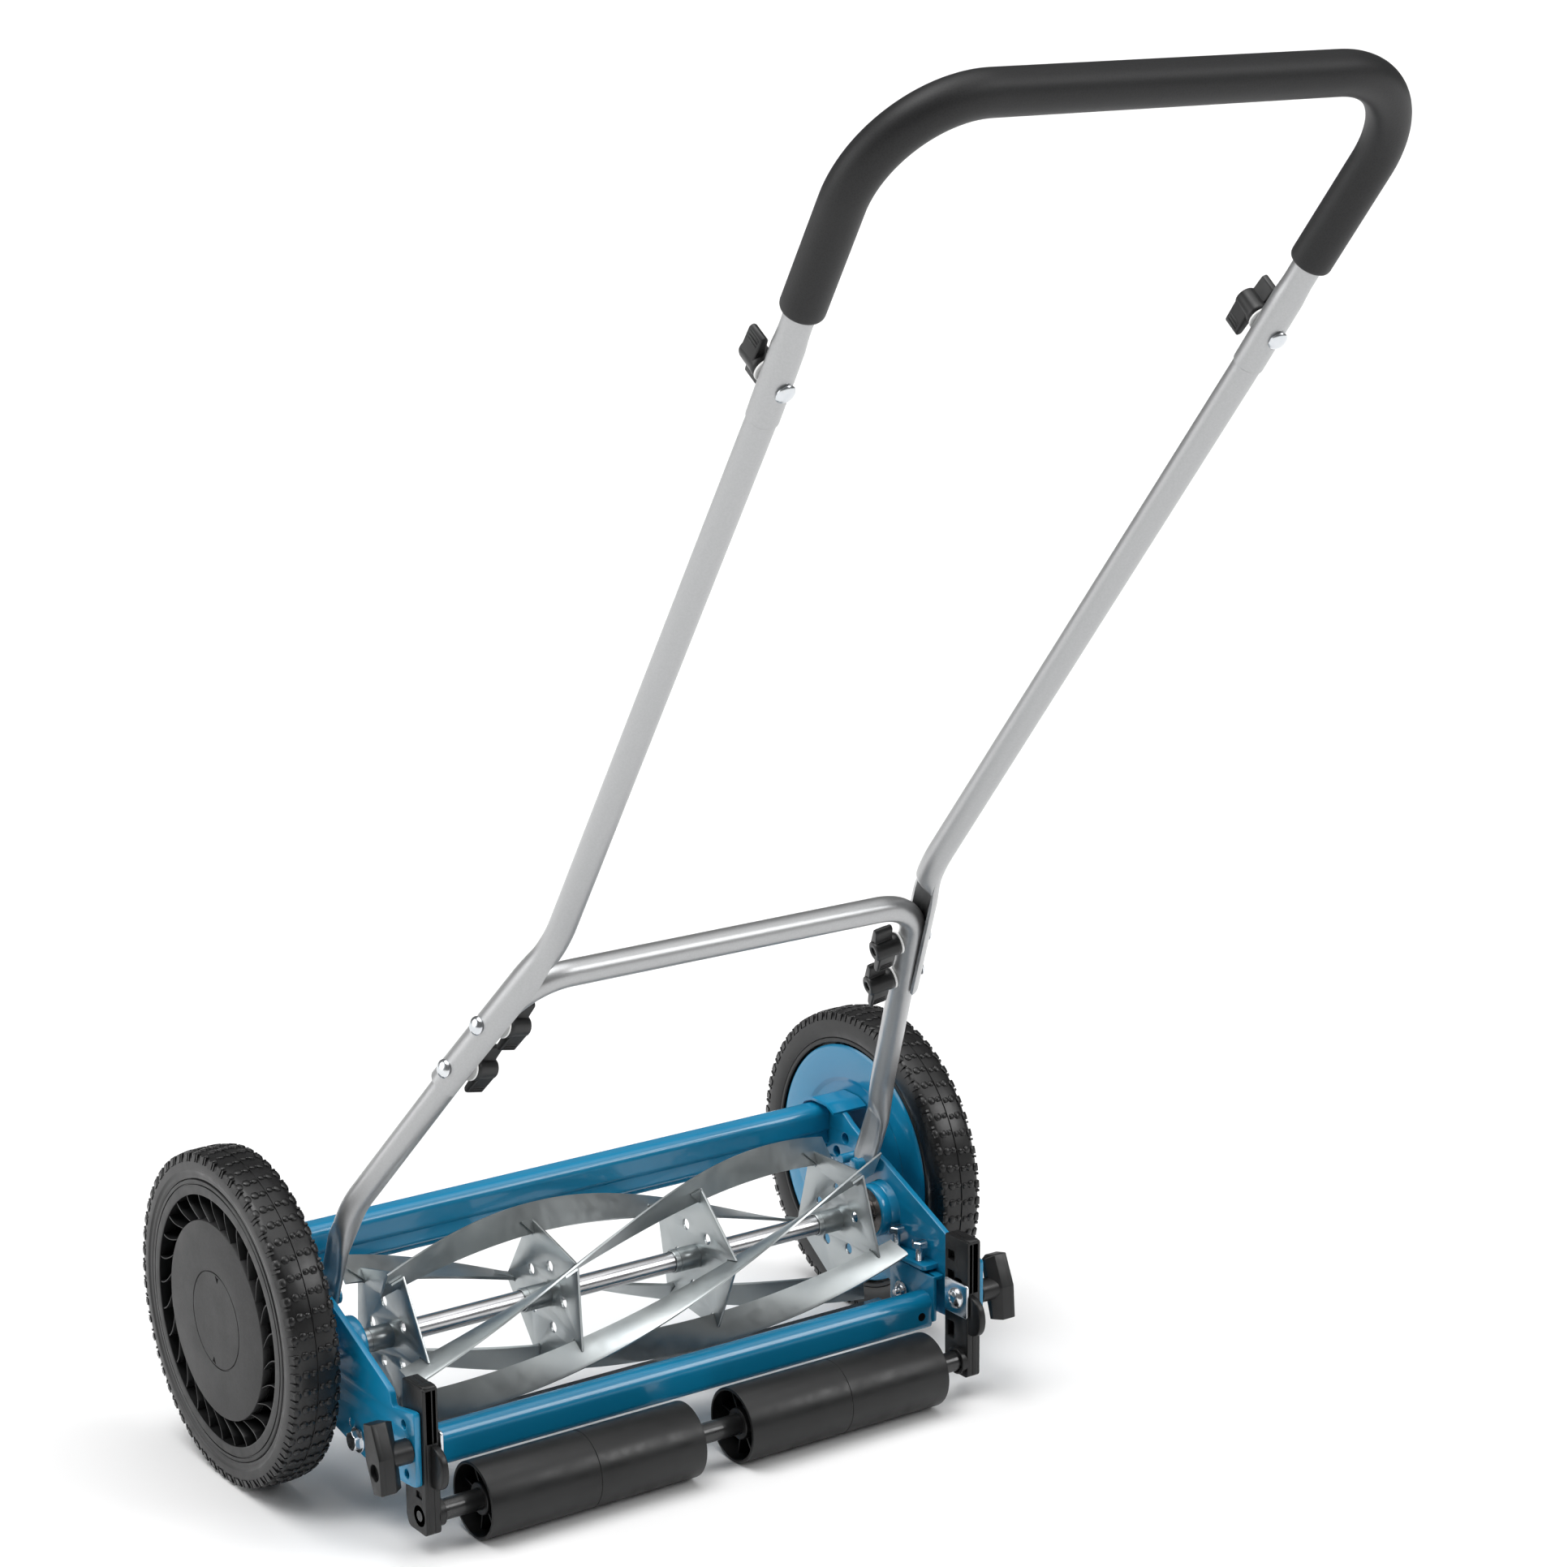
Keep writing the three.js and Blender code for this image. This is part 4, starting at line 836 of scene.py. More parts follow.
def side_plate_outline():
    line = [(-180, 51), (-120, 48.5), (-88, 55)]
    line += bezier((-88, 55), (-30, 66), (14, 84))
    line += bezier((14, 84), (52, 104), (48, 146))
    line += bezier((48, 146), (42, 180), (8, 181))
    line += bezier((8, 181), (-14, 181), (-24, 174))
    line += bezier((-24, 174), (-36, 165), (-75.6, 152))
    line += [(-157, 116.3), (-160.5, 114.6), (-163, 111.6), (-164, 106), (-166, 103.9), (-170, 104.4), (-182, 107)]
    line += [(-193.5, 108.8), (-196, 108.4), (-197, 106), (-197, 56), (-196, 53.8), (-193, 52.7)]
    return line


def make_side_plates():
    outline = side_plate_outline()
    holes = [
        circle(4.4, *CLAMP),
        circle(4.4, *BED_PIVOT),
        circle(3.4, -181, 95.8),
        circle(3.4, -183, 59.5),
        circle(4.4, -22, 156.5),
        circle(4.4, -10.5, 142.5),
        circle(8.9, REEL_Y, REEL_Z),
    ]
    plate = flat(outline, holes, PLATE_IN, PLATE_OUT, bevel=0.7, bevel_steps=3)
    disc_back = WHEEL_X - 17.5
    disc = [
        (8.4, disc_back + 2.0),
        (66, disc_back + 2.0),
        (67.5, disc_back + 1.7),
        (69.5, disc_back + 0.3),
        (71, disc_back),
        (93.5, disc_back),
        (96, disc_back + 0.4),
        (97, disc_back + 1.2),
        (96.6, disc_back + 2.2),
        (93.5, disc_back + 2.4),
        (71.4, disc_back + 2.4),
        (67.6, disc_back + 4.4),
        (8.4, disc_back + 4.4),
    ]
    boss = [(8.4, PLATE_OUT - 0.4), (24, PLATE_OUT - 0.4), (24, disc_back + 2.2), (8.4, disc_back + 2.2)]
    cup_face = PLATE_IN - 16
    cup = [
        (18.9, PLATE_IN - 2),
        (18.9, cup_face + 0.4),
        (19.3, cup_face),
        (20.4, cup_face),
        (21.0, cup_face + 0.5),
        (21.3, cup_face + 1.4),
        (21.3, cup_face + 8.2),
        (20.8, cup_face + 8.9),
        (21.4, cup_face + 9.6),
        (21.6, PLATE_IN - 1.5),
        (22.6, PLATE_IN + 0.4),
        (8.9, PLATE_IN + 0.4),
        (8.9, PLATE_IN - 2),
    ]
    stud_y, stud_z = HANDLE_PIVOT
    line = unit([LEG_BEND[1] - stud_y, LEG_BEND[2] - stud_z])
    across = np.array([line[1], -line[0]])
    pin = np.array(HANDLE_PIVOT) + across * 16.8 - line * 7.3
    stud = [
        (0, SPADE_X - 9.4),
        (5.4, SPADE_X - 9.4),
        (6.4, SPADE_X - 8.6),
        (6.5, SPADE_X - 6.4),
        (6, SPADE_X - 6),
        (5, SPADE_X - 6),
        (5, PLATE_IN + 0.5),
    ]
    stop = [(0, SPADE_X - 9), (3.3, SPADE_X - 9), (4, SPADE_X - 8.2), (4, PLATE_IN - 0.8), (4.6, PLATE_IN + 0.3)]
    dimple = [(0, PLATE_OUT - 0.2), (0, PLATE_OUT + 0.9), (3.4, PLATE_OUT + 0.7), (4.6, PLATE_OUT - 0.2)]
    # a lip of the disc's sheet folds over the crossbar's end
    hood = smooth_line([(-18, 177.5), (-8, 182.3), (12, 182.3), (24, 178), (33, 163)], [14, 14, 12])
    solid = merge(
        plate,
        lathe(disc, 160, 0, WHEEL_R, ring=True),
        lathe(boss, 72, 0, WHEEL_R, ring=True),
        lathe(cup, 72, REEL_Y, REEL_Z, ring=True),
        rounded_ledge(),
        lathe(stud, 40, stud_y, stud_z),
        lathe(stop, 32, *pin),
        lathe(dimple, 32, -104, 69),
        prism(sheet_outline(hood, 2.2), BRACKET_OUT - 8, disc_back + 1),
    )
    bearing = [
        (8.1, cup_face + 0.5),
        (9.4, cup_face + 0.5),
        (9.6, cup_face + 1.2),
        (14.6, cup_face + 1.2),
        (15, cup_face + 0.5),
        (18.6, cup_face + 0.5),
        (18.6, PLATE_IN - 2.3),
        (8.1, PLATE_IN - 2.3),
    ]
    ring = lathe(bearing, 72, REEL_Y, REEL_Z, ring=True)
    for side, flip in SIDES.items():
        piece(f"side_plate_look_{side}", solid, "chassis", "blue", [f"side_plate_{side}"], angle=40, flip=flip)
        piece(f"bearing_look_{side}", ring, "chassis", "bearing", [f"reel_bearing_{side}"], angle=35, flip=flip)


def rounded_ledge():
    """The shelf that carries the adjusting screws, with two clear holes, in the plane z."""
    corners = [(229, -146), (PLATE_IN + 0.5, -146), (PLATE_IN + 0.5, -92), (229, -92)]
    outline = rounded(corners, [4, 0, 0, 9], 8)
    holes = [circle(3.4, ADJUSTER_X, y, 28) for y, _ in ADJUSTERS.values()]
    points, faces = flat(outline, holes, LEDGE[0], LEDGE[1], bevel=0.6, bevel_steps=2)
    return np.column_stack([points[:, 1], points[:, 2], points[:, 0]]), faces


def sheet_outline(line, thickness):
    """The closed outline of bent sheet that follows a line."""
    line = np.asarray(line, float)
    tangents = np.gradient(line, axis=0)
    tangents /= np.linalg.norm(tangents, axis=1)[:, None]
    normals = np.column_stack([-tangents[:, 1], tangents[:, 0]]) * thickness / 2
    return np.vstack([line + normals, (line - normals)[::-1]])


def smooth_line(corners, radii, steps=10):
    """An open line whose inner corners are rounded."""
    corners = [np.asarray(c, float) for c in corners]
    line = [corners[0]]
    for i in range(1, len(corners) - 1):
        into, out = unit(corners[i] - corners[i - 1]), unit(corners[i + 1] - corners[i])
        turn = math.acos(np.clip(into @ out, -1, 1))
        radius = radii[i - 1]
        start = corners[i] - into * radius * math.tan(turn / 2)
        inward = unit(out - into * (into @ out))
        for k in range(steps + 1):
            angle = turn * k / steps
            line.append(start + into * radius * math.sin(angle) + inward * radius * (1 - math.cos(angle)))
    line.append(corners[-1])
    return np.array(line)


def make_crossbar():
    line = smooth_line(
        [(14, 141.3), (5.4, 141.3), (5.4, 144.6), (1.6, 147), (3.4, 156.2), (0.4, 159.6), (0.2, 177.2), (18.5, 177.2),
         (27, 161), (31, 148)],
        [1.4, 1.2, 2.2, 1.6, 1.6, 6.5, 9.5, 20],
    )
    bar = prism(sheet_outline(line, 2.4), -BRACKET_OUT, BRACKET_OUT)
    piece("crossbar_look", bar, "chassis", "blue", ["crossbar"], angle=50)


def bed_bar_solid():
    line = smooth_line(
        [(-104, 41.7), (-151.8, 41.7), (-151.8, 68.4), (-136.6, 68.4), (-136.6, 53)],
        [5.5, 9.0, 4.5],
    )
    bar = prism(sheet_outline(line, 2.6), -BED_END[0], BED_END[0])
    solids = [bar]
    ends = rounded([(-155, 46.5), (-98, 46.5), (-98, BED_TOP), (-155, BED_TOP)], [2.5, 5, 9, 2], 8)
    holes = [circle(4.4, *BED_PIVOT)]
    end = flat(ends, holes, BED_END[0], BED_END[1], bevel=0.5)
    top = rounded([(BED_END[0] + 0.5, -155), (PLATE_IN - 1.2, -155), (PLATE_IN - 1.2, -96), (BED_END[0] + 0.5, -96)], [0, 2, 4, 0], 6)
    points, faces = flat(top, (), BED_TOP - 3, BED_TOP, bevel=0.5)
    flange = np.column_stack([points[:, 1], points[:, 2], points[:, 0]]), faces
    weld = tube(
        [(BED_END[0] - 0.4, -151.6, 47), (BED_END[0] - 0.4, -151.8, 60), (BED_END[0] - 0.4, -148, 66.5), (BED_END[0] - 0.4, -141, 68.6)],
        [1.2, 1.7, 1.9, 1.2],
        around=12,
    )
    for flip in (1, -1):
        for solid in (end, flange, weld):
            solids.append((solid[0] * (flip, 1, 1), solid[1]))
    return merge(*solids)


def make_bed():
    piece("bed_bar_look", bed_bar_solid(), "bed", "blue", ["bed_bar"], angle=45)
    # painted shade: two dark discs on the bar's rear face stand in for the shade inside its holes, which are not cut
    dark = []
    for sign in (-1, 1):
        dark.append(lathe([(0, -152.9), (0, -153.25), (3.3, -153.25), (3.3, -152.9)], 32))
        points = dark[-1][0]
        dark[-1] = (np.column_stack([points[:, 1] + sign * 222, points[:, 0], points[:, 2] + 53]), dark[-1][1])
    piece("bed_bar_hole_shade", merge(*dark), "bed", "painted_shade")
    knife = [(-133, 43.4), (-92.6, 43.4), (-88.4, 45.2), (-88, 45.6), (-88, 46.3), (-133, 46.3)]
    solids = [prism(knife, -228, 228)]
    for x in (-200, -100, 0, 100, 200):
        solids.append(spun([(5.4, 0), (5.4, 0.6), (4.6, 1.3), (3, 1.3), (3, 5)], np.array([x, -114.0, 37.9]), (0, 0, 1), 28))
    piece("bed_knife_look", merge(*solids), "bed", "steel", ["bed_knife"], angle=30)


def hexagon(radius, place, axis, height, chamfer=0.8):
    """A hexagon head: a hexagon met by a shallow turned chamfer."""
    u, v = basis(axis)
    axis = unit(axis)
    rings = []
    count = 48
    for level, cut in ((0.0, 0.0), (height - chamfer, 0.0), (height - chamfer * 0.4, 0.35), (height, 1.0)):
        ring = []
        for k in range(count):
            turn = 2 * math.pi * k / count
            edge = radius * math.cos(math.pi / 6) / math.cos((turn + math.pi / 6) % (math.pi / 3) - math.pi / 6)
            limit = radius - chamfer * 1.3 * cut
            ring.append(place + axis * level + min(edge, limit) * (math.cos(turn) * u + math.sin(turn) * v))
        rings.append(ring)
    return loft(rings)


def thread(radius, place, axis, length, pitch=1.25, around=32):
    """Screw thread as close rings of ridge and root."""
    profile = []
    count = max(2, int(length / pitch))
    for k in range(count):
        profile += [(radius - 0.55, k * pitch), (radius, k * pitch + pitch * 0.5)]
    profile.append((radius - 0.55, length))
    return spun(profile, np.asarray(place, float), axis, around)


def make_fasteners():
    for place, (y, head) in ADJUSTERS.items():
        tip = BED_TOP + GAP
        solids = [
            hexagon(6.6, np.array([ADJUSTER_X, y, head]), (0, 0, 1), 3.2, 0.1),
            thread(3.1, (ADJUSTER_X, y, tip), (0, 0, 1), head - tip + 0.5),
        ]
        for sign in (-1, 1):
            solids.append(half_head(6.6, sign, (ADJUSTER_X, y, head + 3.1), 1.8))
        for side, flip in SIDES.items():
            piece(f"adjuster_look_{place}_{side}", merge(*solids), f"adjuster_{place}_{side}", "zinc",
                  [f"adjuster_{place}_{side}"], angle=35, flip=flip)
    y, z = BED_PIVOT
    outside, inside = PLATE_OUT + GAP, BED_END[0] - GAP
    place = np.array([0.0, y, z])
    washer_out = [(0, 0), (9.2, 0), (9.5, 0.4), (9.5, 1.3), (9.1, 1.7), (0, 1.7)]
    washer_in = [(0, 0), (7.6, 0), (8, -0.5), (8, -1.2), (7.6, -1.6), (0, -1.6)]
    solids = [
        hexagon(7.6, place + (outside + 1.6, 0, 0), (1, 0, 0), 5, 0.8),
        lathe([(r, outside + x) for r, x in washer_out], 48, y, z),
        lathe([(r, inside + x) for r, x in washer_in], 48, y, z),
        dome(place + (inside - 1.5, 0, 0), (-1, 0, 0), 5.4, 3.2, 32),
        thread(3.0, place + (inside - 2, 0, 0), (-1, 0, 0), 5.4),
        lathe([(0, inside - 0.2), (4, inside - 0.2), (4, outside + 0.2), (0, outside + 0.2)], 32, y, z),
    ]
    for side, flip in SIDES.items():
        bolt = [f"bed_pivot_bolt_{side}"]
        piece(f"pivot_bolt_look_{side}", merge(*solids), "chassis", "zinc", bolt, angle=35, flip=flip)


def half_head(radius, sign, place, height):
    """One half of a slotted hexagon head, its upper rim cut back."""
    slot, third = 0.75, radius * math.sqrt(3) / 2
    rings = []
    for level, inset in ((0, 0.0), (height - 0.7, 0.0), (height, 0.9)):
        side = third - inset
        wide = radius - inset - slot / math.sqrt(3)
        outline = np.array([(wide, slot), (radius / 2 - inset * 0.5, side), (-radius / 2 + inset * 0.5, side), (-wide, slot)])
        rings.append(np.column_stack([outline * (1, sign), np.full(4, level)]) + place)
    return loft(rings)


# ---------------------------------------------------------------- roller and its brackets


def roller_solid():
    near, far = ROLLER_ENDS
    middle, wall = (near + far) / 2, 2.4
    profile = [
        (8.1, near + 5),
        (11.4, near + 5),
        (12, near + 5.6),
        (12, middle - 2),
        (ROLLER_R - wall, middle - 2),
        (ROLLER_R - wall, near + 0.4),
        (ROLLER_R - wall + 0.4, near),
        (ROLLER_R - 0.9, near),
        (ROLLER_R - 0.2, near + 0.4),
        (ROLLER_R, near + 1.4),
        (ROLLER_R, middle - 0.5),
        (ROLLER_R - 0.45, middle - 0.15),
        (ROLLER_R - 0.45, middle + 0.15),
        (ROLLER_R, middle + 0.5),
        (ROLLER_R, far - 1.4),
        (ROLLER_R - 0.2, far - 0.4),
        (ROLLER_R - 0.9, far),
        (ROLLER_R - wall + 0.4, far),
        (ROLLER_R - wall, far - 0.4),
        (ROLLER_R - wall, middle + 2),
        (12, middle + 2),
        (12, far - 5.6),
        (11.4, far - 5),
        (8.1, far - 5),
    ]
    solids = [lathe(profile, 120, ring=True)]
    for n in range(8):
        turn = 2 * math.pi * n / 8 + 0.2
        for x0, x1 in ((near + 9, middle - 2), (middle + 2, far - 9)):
            rib = box((x0, -0.8, 11.5), (x1, 0.8, ROLLER_R - wall / 2))
            c, s = math.cos(turn), math.sin(turn)
            solids.append(moved(rib, [[1, 0, 0, 0], [0, c, -s, 0], [0, s, c, 0]]))
    points, faces = merge(*solids)
    return points + (0, ROLLER_Y, ROLLER_R), faces


def bracket_solid():
    """The roller's side bracket: a deep channel with a rear column, a lobe, windows and a long slot."""
    rear, front = -200, -171
    body = rounded(
        [(rear, 15.8), (front - 3, 15.8), (front, 24), (front, 126.8), (rear, 126.8)],
        [3.5, 11, 8, 2.2, 2.2],
        10,
    )
    reach = 15.0
    slot = rounded(
        [(CLAMP[0] - 4.4, CLAMP[1] - reach), (CLAMP[0] + 4.4, CLAMP[1] - reach), (CLAMP[0] + 4.4, CLAMP[1] + reach),
         (CLAMP[0] - 4.4, CLAMP[1] + reach)], 2, 4)
    inner = BRACKET_IN + 5
    windows = []
    for z, tall in ((110.6, 3.8), (94.3, 3.8), (50, 6.4)):
        windows.append(rounded([(-182.8, z - tall), (-174.4, z - tall), (-174.4, z + tall), (-182.8, z + tall)], 0.5, 2))
    shaft = circle(8.1, ROLLER_Y, ROLLER_R, 40)
    pin = circle(3.25, ROLLER_Y, ROLLER_R, 32)
    recess = rounded([(-194, 42), (-186, 42), (-186, 47), (-194, 47)], 0.6, 2)
    solids = [
        flat(body, [slot, shaft, *windows], BRACKET_IN, inner, bevel=0.7, bevel_steps=3),
        flat(body, [slot], inner, BRACKET_OUT - 2, bevel=0.2, bevel_steps=1),
        flat(body, [slot, pin, recess], BRACKET_OUT - 2.4, BRACKET_OUT, bevel=0.7, bevel_steps=3),
    ]
    beside, broad = rear + 7, rear + 9.5
    column = rounded(
        [(rear, 84), (beside, 84), (beside, 96), (broad, 98), (broad, 128.2), (rear, 128.2)],
        [1, 1, 0.5, 0.5, 2, 2.4],
        5,
    )
    solids.append(flat(column, (), BRACKET_IN + 0.6, BRACKET_OUT - 1.2, bevel=1.2, bevel_steps=4))
    ear = [(rear + 3, 51.5), (rear - 4, 51.8)]
    ear += bezier((rear - 4, 51.8), (rear - 14.5, 53.5), (rear - 15, 66))
    ear += bezier((rear - 15, 66), (rear - 14.8, 79), (rear - 5, 82.5))
    ear += [(rear + 3, 84)]
    solids.append(flat(ear, (), BRACKET_IN + 0.5, BRACKET_IN + 6.5, bevel=1.5, bevel_steps=4))
    collar = [(8.1, 226.4), (8.5, 226), (10, 226), (10.5, 226.5), (10.5, BRACKET_IN + 1), (8.1, BRACKET_IN + 1)]
    solids.append(lathe(collar, 72, ROLLER_Y, ROLLER_R, ring=True))
    return merge(*solids)


def clamp_plate_solid():
    face = BRACKET_IN - GAP
    y, z = CLAMP
    plate = rounded([(y - 14, z - 13.6), (y + 14, z - 13.6), (y + 14, z + 13.6), (y - 14, z + 13.6)], 2.4, 5)
    solids = [flat(plate, (), face - 2.2, face, bevel=0.5)]
    place = np.array([face - 2.2, y, z])
    head = [(8.2, 0.0), (8.2, 0.8), (7.6, 2.0), (6.2, 3.1), (4.4, 3.8), (3.2, 4.1), (3.0, 3.5), (0.4, 3.4)]
    solids.append(spun(head, place, (-1, 0, 0), 40))
    solids.append(lathe([(0, face - 1), (3.6, face - 1), (3.6, 262), (0, 262)], 32, y, z))
    return merge(*solids)


def clamp_knob_solid():
    """The long six-sided bar of the clamp knob on its stem, tilted as it was left."""
    outline = rounded([(-6, -25.4), (6, -25.4), (10.5, 0), (6, 25.4), (-6, 25.4), (-10.5, 0)], 0.8, 3)
    ridge = outline * (0.3, 0.93)
    shallow = outline * (0.985, 0.995)
    rings = []
    for ring, x in ((ridge, 259), (outline, 266), (outline, 276.2)):
        rings.append(np.column_stack([np.full(len(ring), x), ring]))
    rings[1:1] = [np.column_stack([np.full(len(shallow), 265.2), shallow])]
    grip = loft(rings)
    cap = flat(outline, [circle(6, 0, -9, 40)], 272, 277, bevel=0.8, bevel_steps=3)
    grip[0][:, 0] = np.minimum(grip[0][:, 0], 273)
    stem = lathe([(4.4, PLATE_OUT + GAP), (8.4, PLATE_OUT + GAP), (9, PLATE_OUT + 1), (9, 266), (4.4, 266)], 56, ring=True)
    tilt = math.radians(-14)
    c, s = math.cos(tilt), math.sin(tilt)
    return moved(merge(grip, cap, stem), [[1, 0, 0, 0], [0, c, -s, CLAMP[0]], [0, s, c, CLAMP[1]]])


def make_roller():
    roller, bracket = roller_solid(), bracket_solid()
    for side, flip in SIDES.items():
        piece(f"roller_look_{side}", roller, f"roller_{side}", "black", [f"roller_{side}"], angle=32, flip=flip)
        piece(f"bracket_look_{side}", bracket, "carriage", "black", [f"roller_bracket_{side}"], angle=40, flip=flip)
        piece(f"clamp_plate_look_{side}", clamp_plate_solid(), "chassis", "zinc", [f"clamp_bolt_{side}"], angle=35, flip=flip)
        piece(f"clamp_knob_look_{side}", clamp_knob_solid(), f"clamp_knob_{side}", "black", [f"clamp_knob_{side}"], angle=38, flip=flip)
    end = BRACKET_OUT
    shaft = lathe([(0, -end), (SHAFT_R, -end), (SHAFT_R, end), (0, end)], 56, ROLLER_Y, ROLLER_R)
    piece("roller_shaft_look", shaft, "carriage", "black_paint", ["roller_shaft"])


# ---------------------------------------------------------------- handle

LEG = unit(LEG_CORNER - LEG_BEND)
LEG_OUT = unit(np.array([1.0, 0, 0]) - LEG * LEG[0])
MIDDLE = unit(UPPER_BOLT - MIDDLE_BEND)
UPPER = unit(GRIP_CORNER - UPPER_BOLT)
UPPER_FRONT = unit(np.array([0, 1.0, 0]) - MIDDLE * MIDDLE[1])
UPPER_JOINT = UPPER_BOLT + UPPER * 46 + UPPER_FRONT
UPPER_LEG = unit(GRIP_CORNER - UPPER_JOINT)
GRIP_START = UPPER_JOINT + UPPER_LEG * 8
LOWER_WRAP = (12.9, 10.1, 80, 3)
SLEEVE_R = 10.3
LOWER_BOLTS = {"high": 45, "low": 90}


def lower_handle_solid():
    """One tube bent into a U, its two feet pressed flat into dished spades."""
    pivot = np.array([SPADE_X, *HANDLE_PIVOT])
    foot = np.array([SPADE_X, LEG_BEND[1], LEG_BEND[2]]) - pivot
    line = unit(foot)
    ankle = pivot + line * 52
    toe = 15.0
    straight = [pivot - line * toe + line * d for d in np.linspace(0, 46, 32)]
    corners = [ankle - line * 8, ankle, LEG_BEND, LEG_CORNER, mirror(LEG_CORNER)]
    leg = bent(corners, [30, 90, 48], step=2.5, straight=5)
    right = [straight[0]]
    for p in straight[1:] + [p for p in leg[1:] if p[0] > 1]:
        if np.linalg.norm(p - right[-1]) > 0.5 and (p - right[-1]) @ (p - pivot) > 0:
            right.append(p)
    right = np.array(right)
    whole = np.vstack([right, mirror(right)[::-1]])
    _, a, b = carried(whole, (1, 0, 0))
    length = np.r_[0, np.cumsum(np.linalg.norm(np.diff(whole, axis=0), axis=1))]
    from_end = np.minimum(length, length[-1] - length)
    turn = np.arange(56) * 2 * math.pi / 56
    rings = []
    for place, u, v, s in zip(whole, a, b, from_end):
        t = np.clip((s - 50) / 40, 0, 1)
        t = t * t * (3 - 2 * t)
        wide = 12.9 + (TUBE_R - 12.9) * t
        thick = 2.5 + (TUBE_R - 2.5) * t
        if s < toe:
            wide *= math.sqrt(max(1 - (1 - s / toe) ** 2, 0.0004))
        power = 0.5 + 0.5 * t
        across = np.sign(np.sin(turn)) * np.abs(np.sin(turn)) ** power
        dish = 1 - (1 - t) * 0.62 * np.clip(1.25 - (across / 0.72) ** 2, 0, 1) * min(1, max(s - 3, 0) / 8)
        x = np.sign(np.cos(turn)) * np.abs(np.cos(turn)) ** power * thick * dish
        rings.append(place + x[:, None] * u + (across * wide)[:, None] * v)
    return loft(rings)


def gutter_tube(path, first, round_at, wrap, around=48):
    """A tube pressed at its start into a gutter that wraps the tube beside it.

    first points away from the wrapped tube. round_at gives, for each length along the path, how round the section
    is, from 0 (gutter) to 1 (tube). wrap is the gutter's outer and inner radius, its reach in degrees to each side
    and the distance of the path from the wrapped tube's axis.
    """
    outer, inner, reach, offset = wrap
    _, a, b = carried(path, first)
    length = np.r_[0, np.cumsum(np.linalg.norm(np.diff(path, axis=0), axis=1))]
    half = around // 2
    out, back = np.radians(np.linspace(-90, 90, half)), np.radians(np.linspace(90, 270, half))
    turn = np.radians(np.linspace(-reach, reach, half))
    tube_section = np.vstack([np.column_stack([TUBE_R * np.cos(t), TUBE_R * np.sin(t)]) for t in (out, back)])
    gutter_section = np.vstack([
        np.column_stack([outer * np.cos(turn) - offset, outer * np.sin(turn)]),
        np.column_stack([inner * np.cos(turn) - offset, inner * np.sin(turn)])[::-1],
    ])
    rings = []
    for place, u, v, s in zip(path, a, b, length):
        t = round_at(s)
        section = gutter_section * (1 - t) + tube_section * t
        rings.append(place + section[:, :1] * u + section[:, 1:] * v)
    return loft(rings)


def eased(low, high):
    def value(s):
        t = np.clip((s - low) / (high - low), 0, 1)
        return t * t * (3 - 2 * t)

    return value


def middle_tube_solid():
    outer, inner, reach, offset = LOWER_WRAP
    shift = LEG_OUT * offset
    start = LEG_CORNER - LEG * 105 + shift
    top = UPPER_BOLT - MIDDLE * 12
    path = bent([start, MIDDLE_BEND + shift, top], [120], step=4, straight=8)
    return gutter_tube(path, LEG_OUT, eased(110, 142), LOWER_WRAP)


def upper_handle_solid():
    """One tube bent into a U. Each end is a sleeve that takes the middle tube's top."""
    start = UPPER_BOLT - MIDDLE * 29
    path = bent([start, UPPER_JOINT, GRIP_CORNER, mirror(GRIP_CORNER)], [150, 69], step=3, straight=6)
    half = np.array([p for p in path if p[0] > 1])
    away = unit(half[1] - half[0])
    half = np.vstack([half[:1], half[:1], half[0] + away * 0.3, half[0] + away * 0.9, half[1:]])
    from_end = np.r_[0, np.cumsum(np.linalg.norm(np.diff(half, axis=0), axis=1))]
    flare = eased(56, 66)
    radii = np.array([SLEEVE_R + (TUBE_R - SLEEVE_R) * flare(s) for s in from_end])
    radii[:4] = [TUBE_R + 0.05, SLEEVE_R - 0.35, SLEEVE_R - 0.1, SLEEVE_R]
    radii = np.r_[radii, radii[::-1]]
    whole = np.vstack([half, mirror(half)[::-1]])
    tangents = np.gradient(whole[1:-1], axis=0)
    tangents = np.vstack([tangents[:1], tangents, tangents[-1:]])
    tangents /= np.linalg.norm(tangents, axis=1)[:, None]
    turn = np.arange(48) * 2 * math.pi / 48
    side, rings = np.array([1.0, 0, 0]), []
    for place, t, r in zip(whole, tangents, radii):
        side = unit(side - t * (side @ t))
        rings.append(place + r * (np.cos(turn)[:, None] * side + np.sin(turn)[:, None] * np.cross(t, side)))
    return loft(rings)


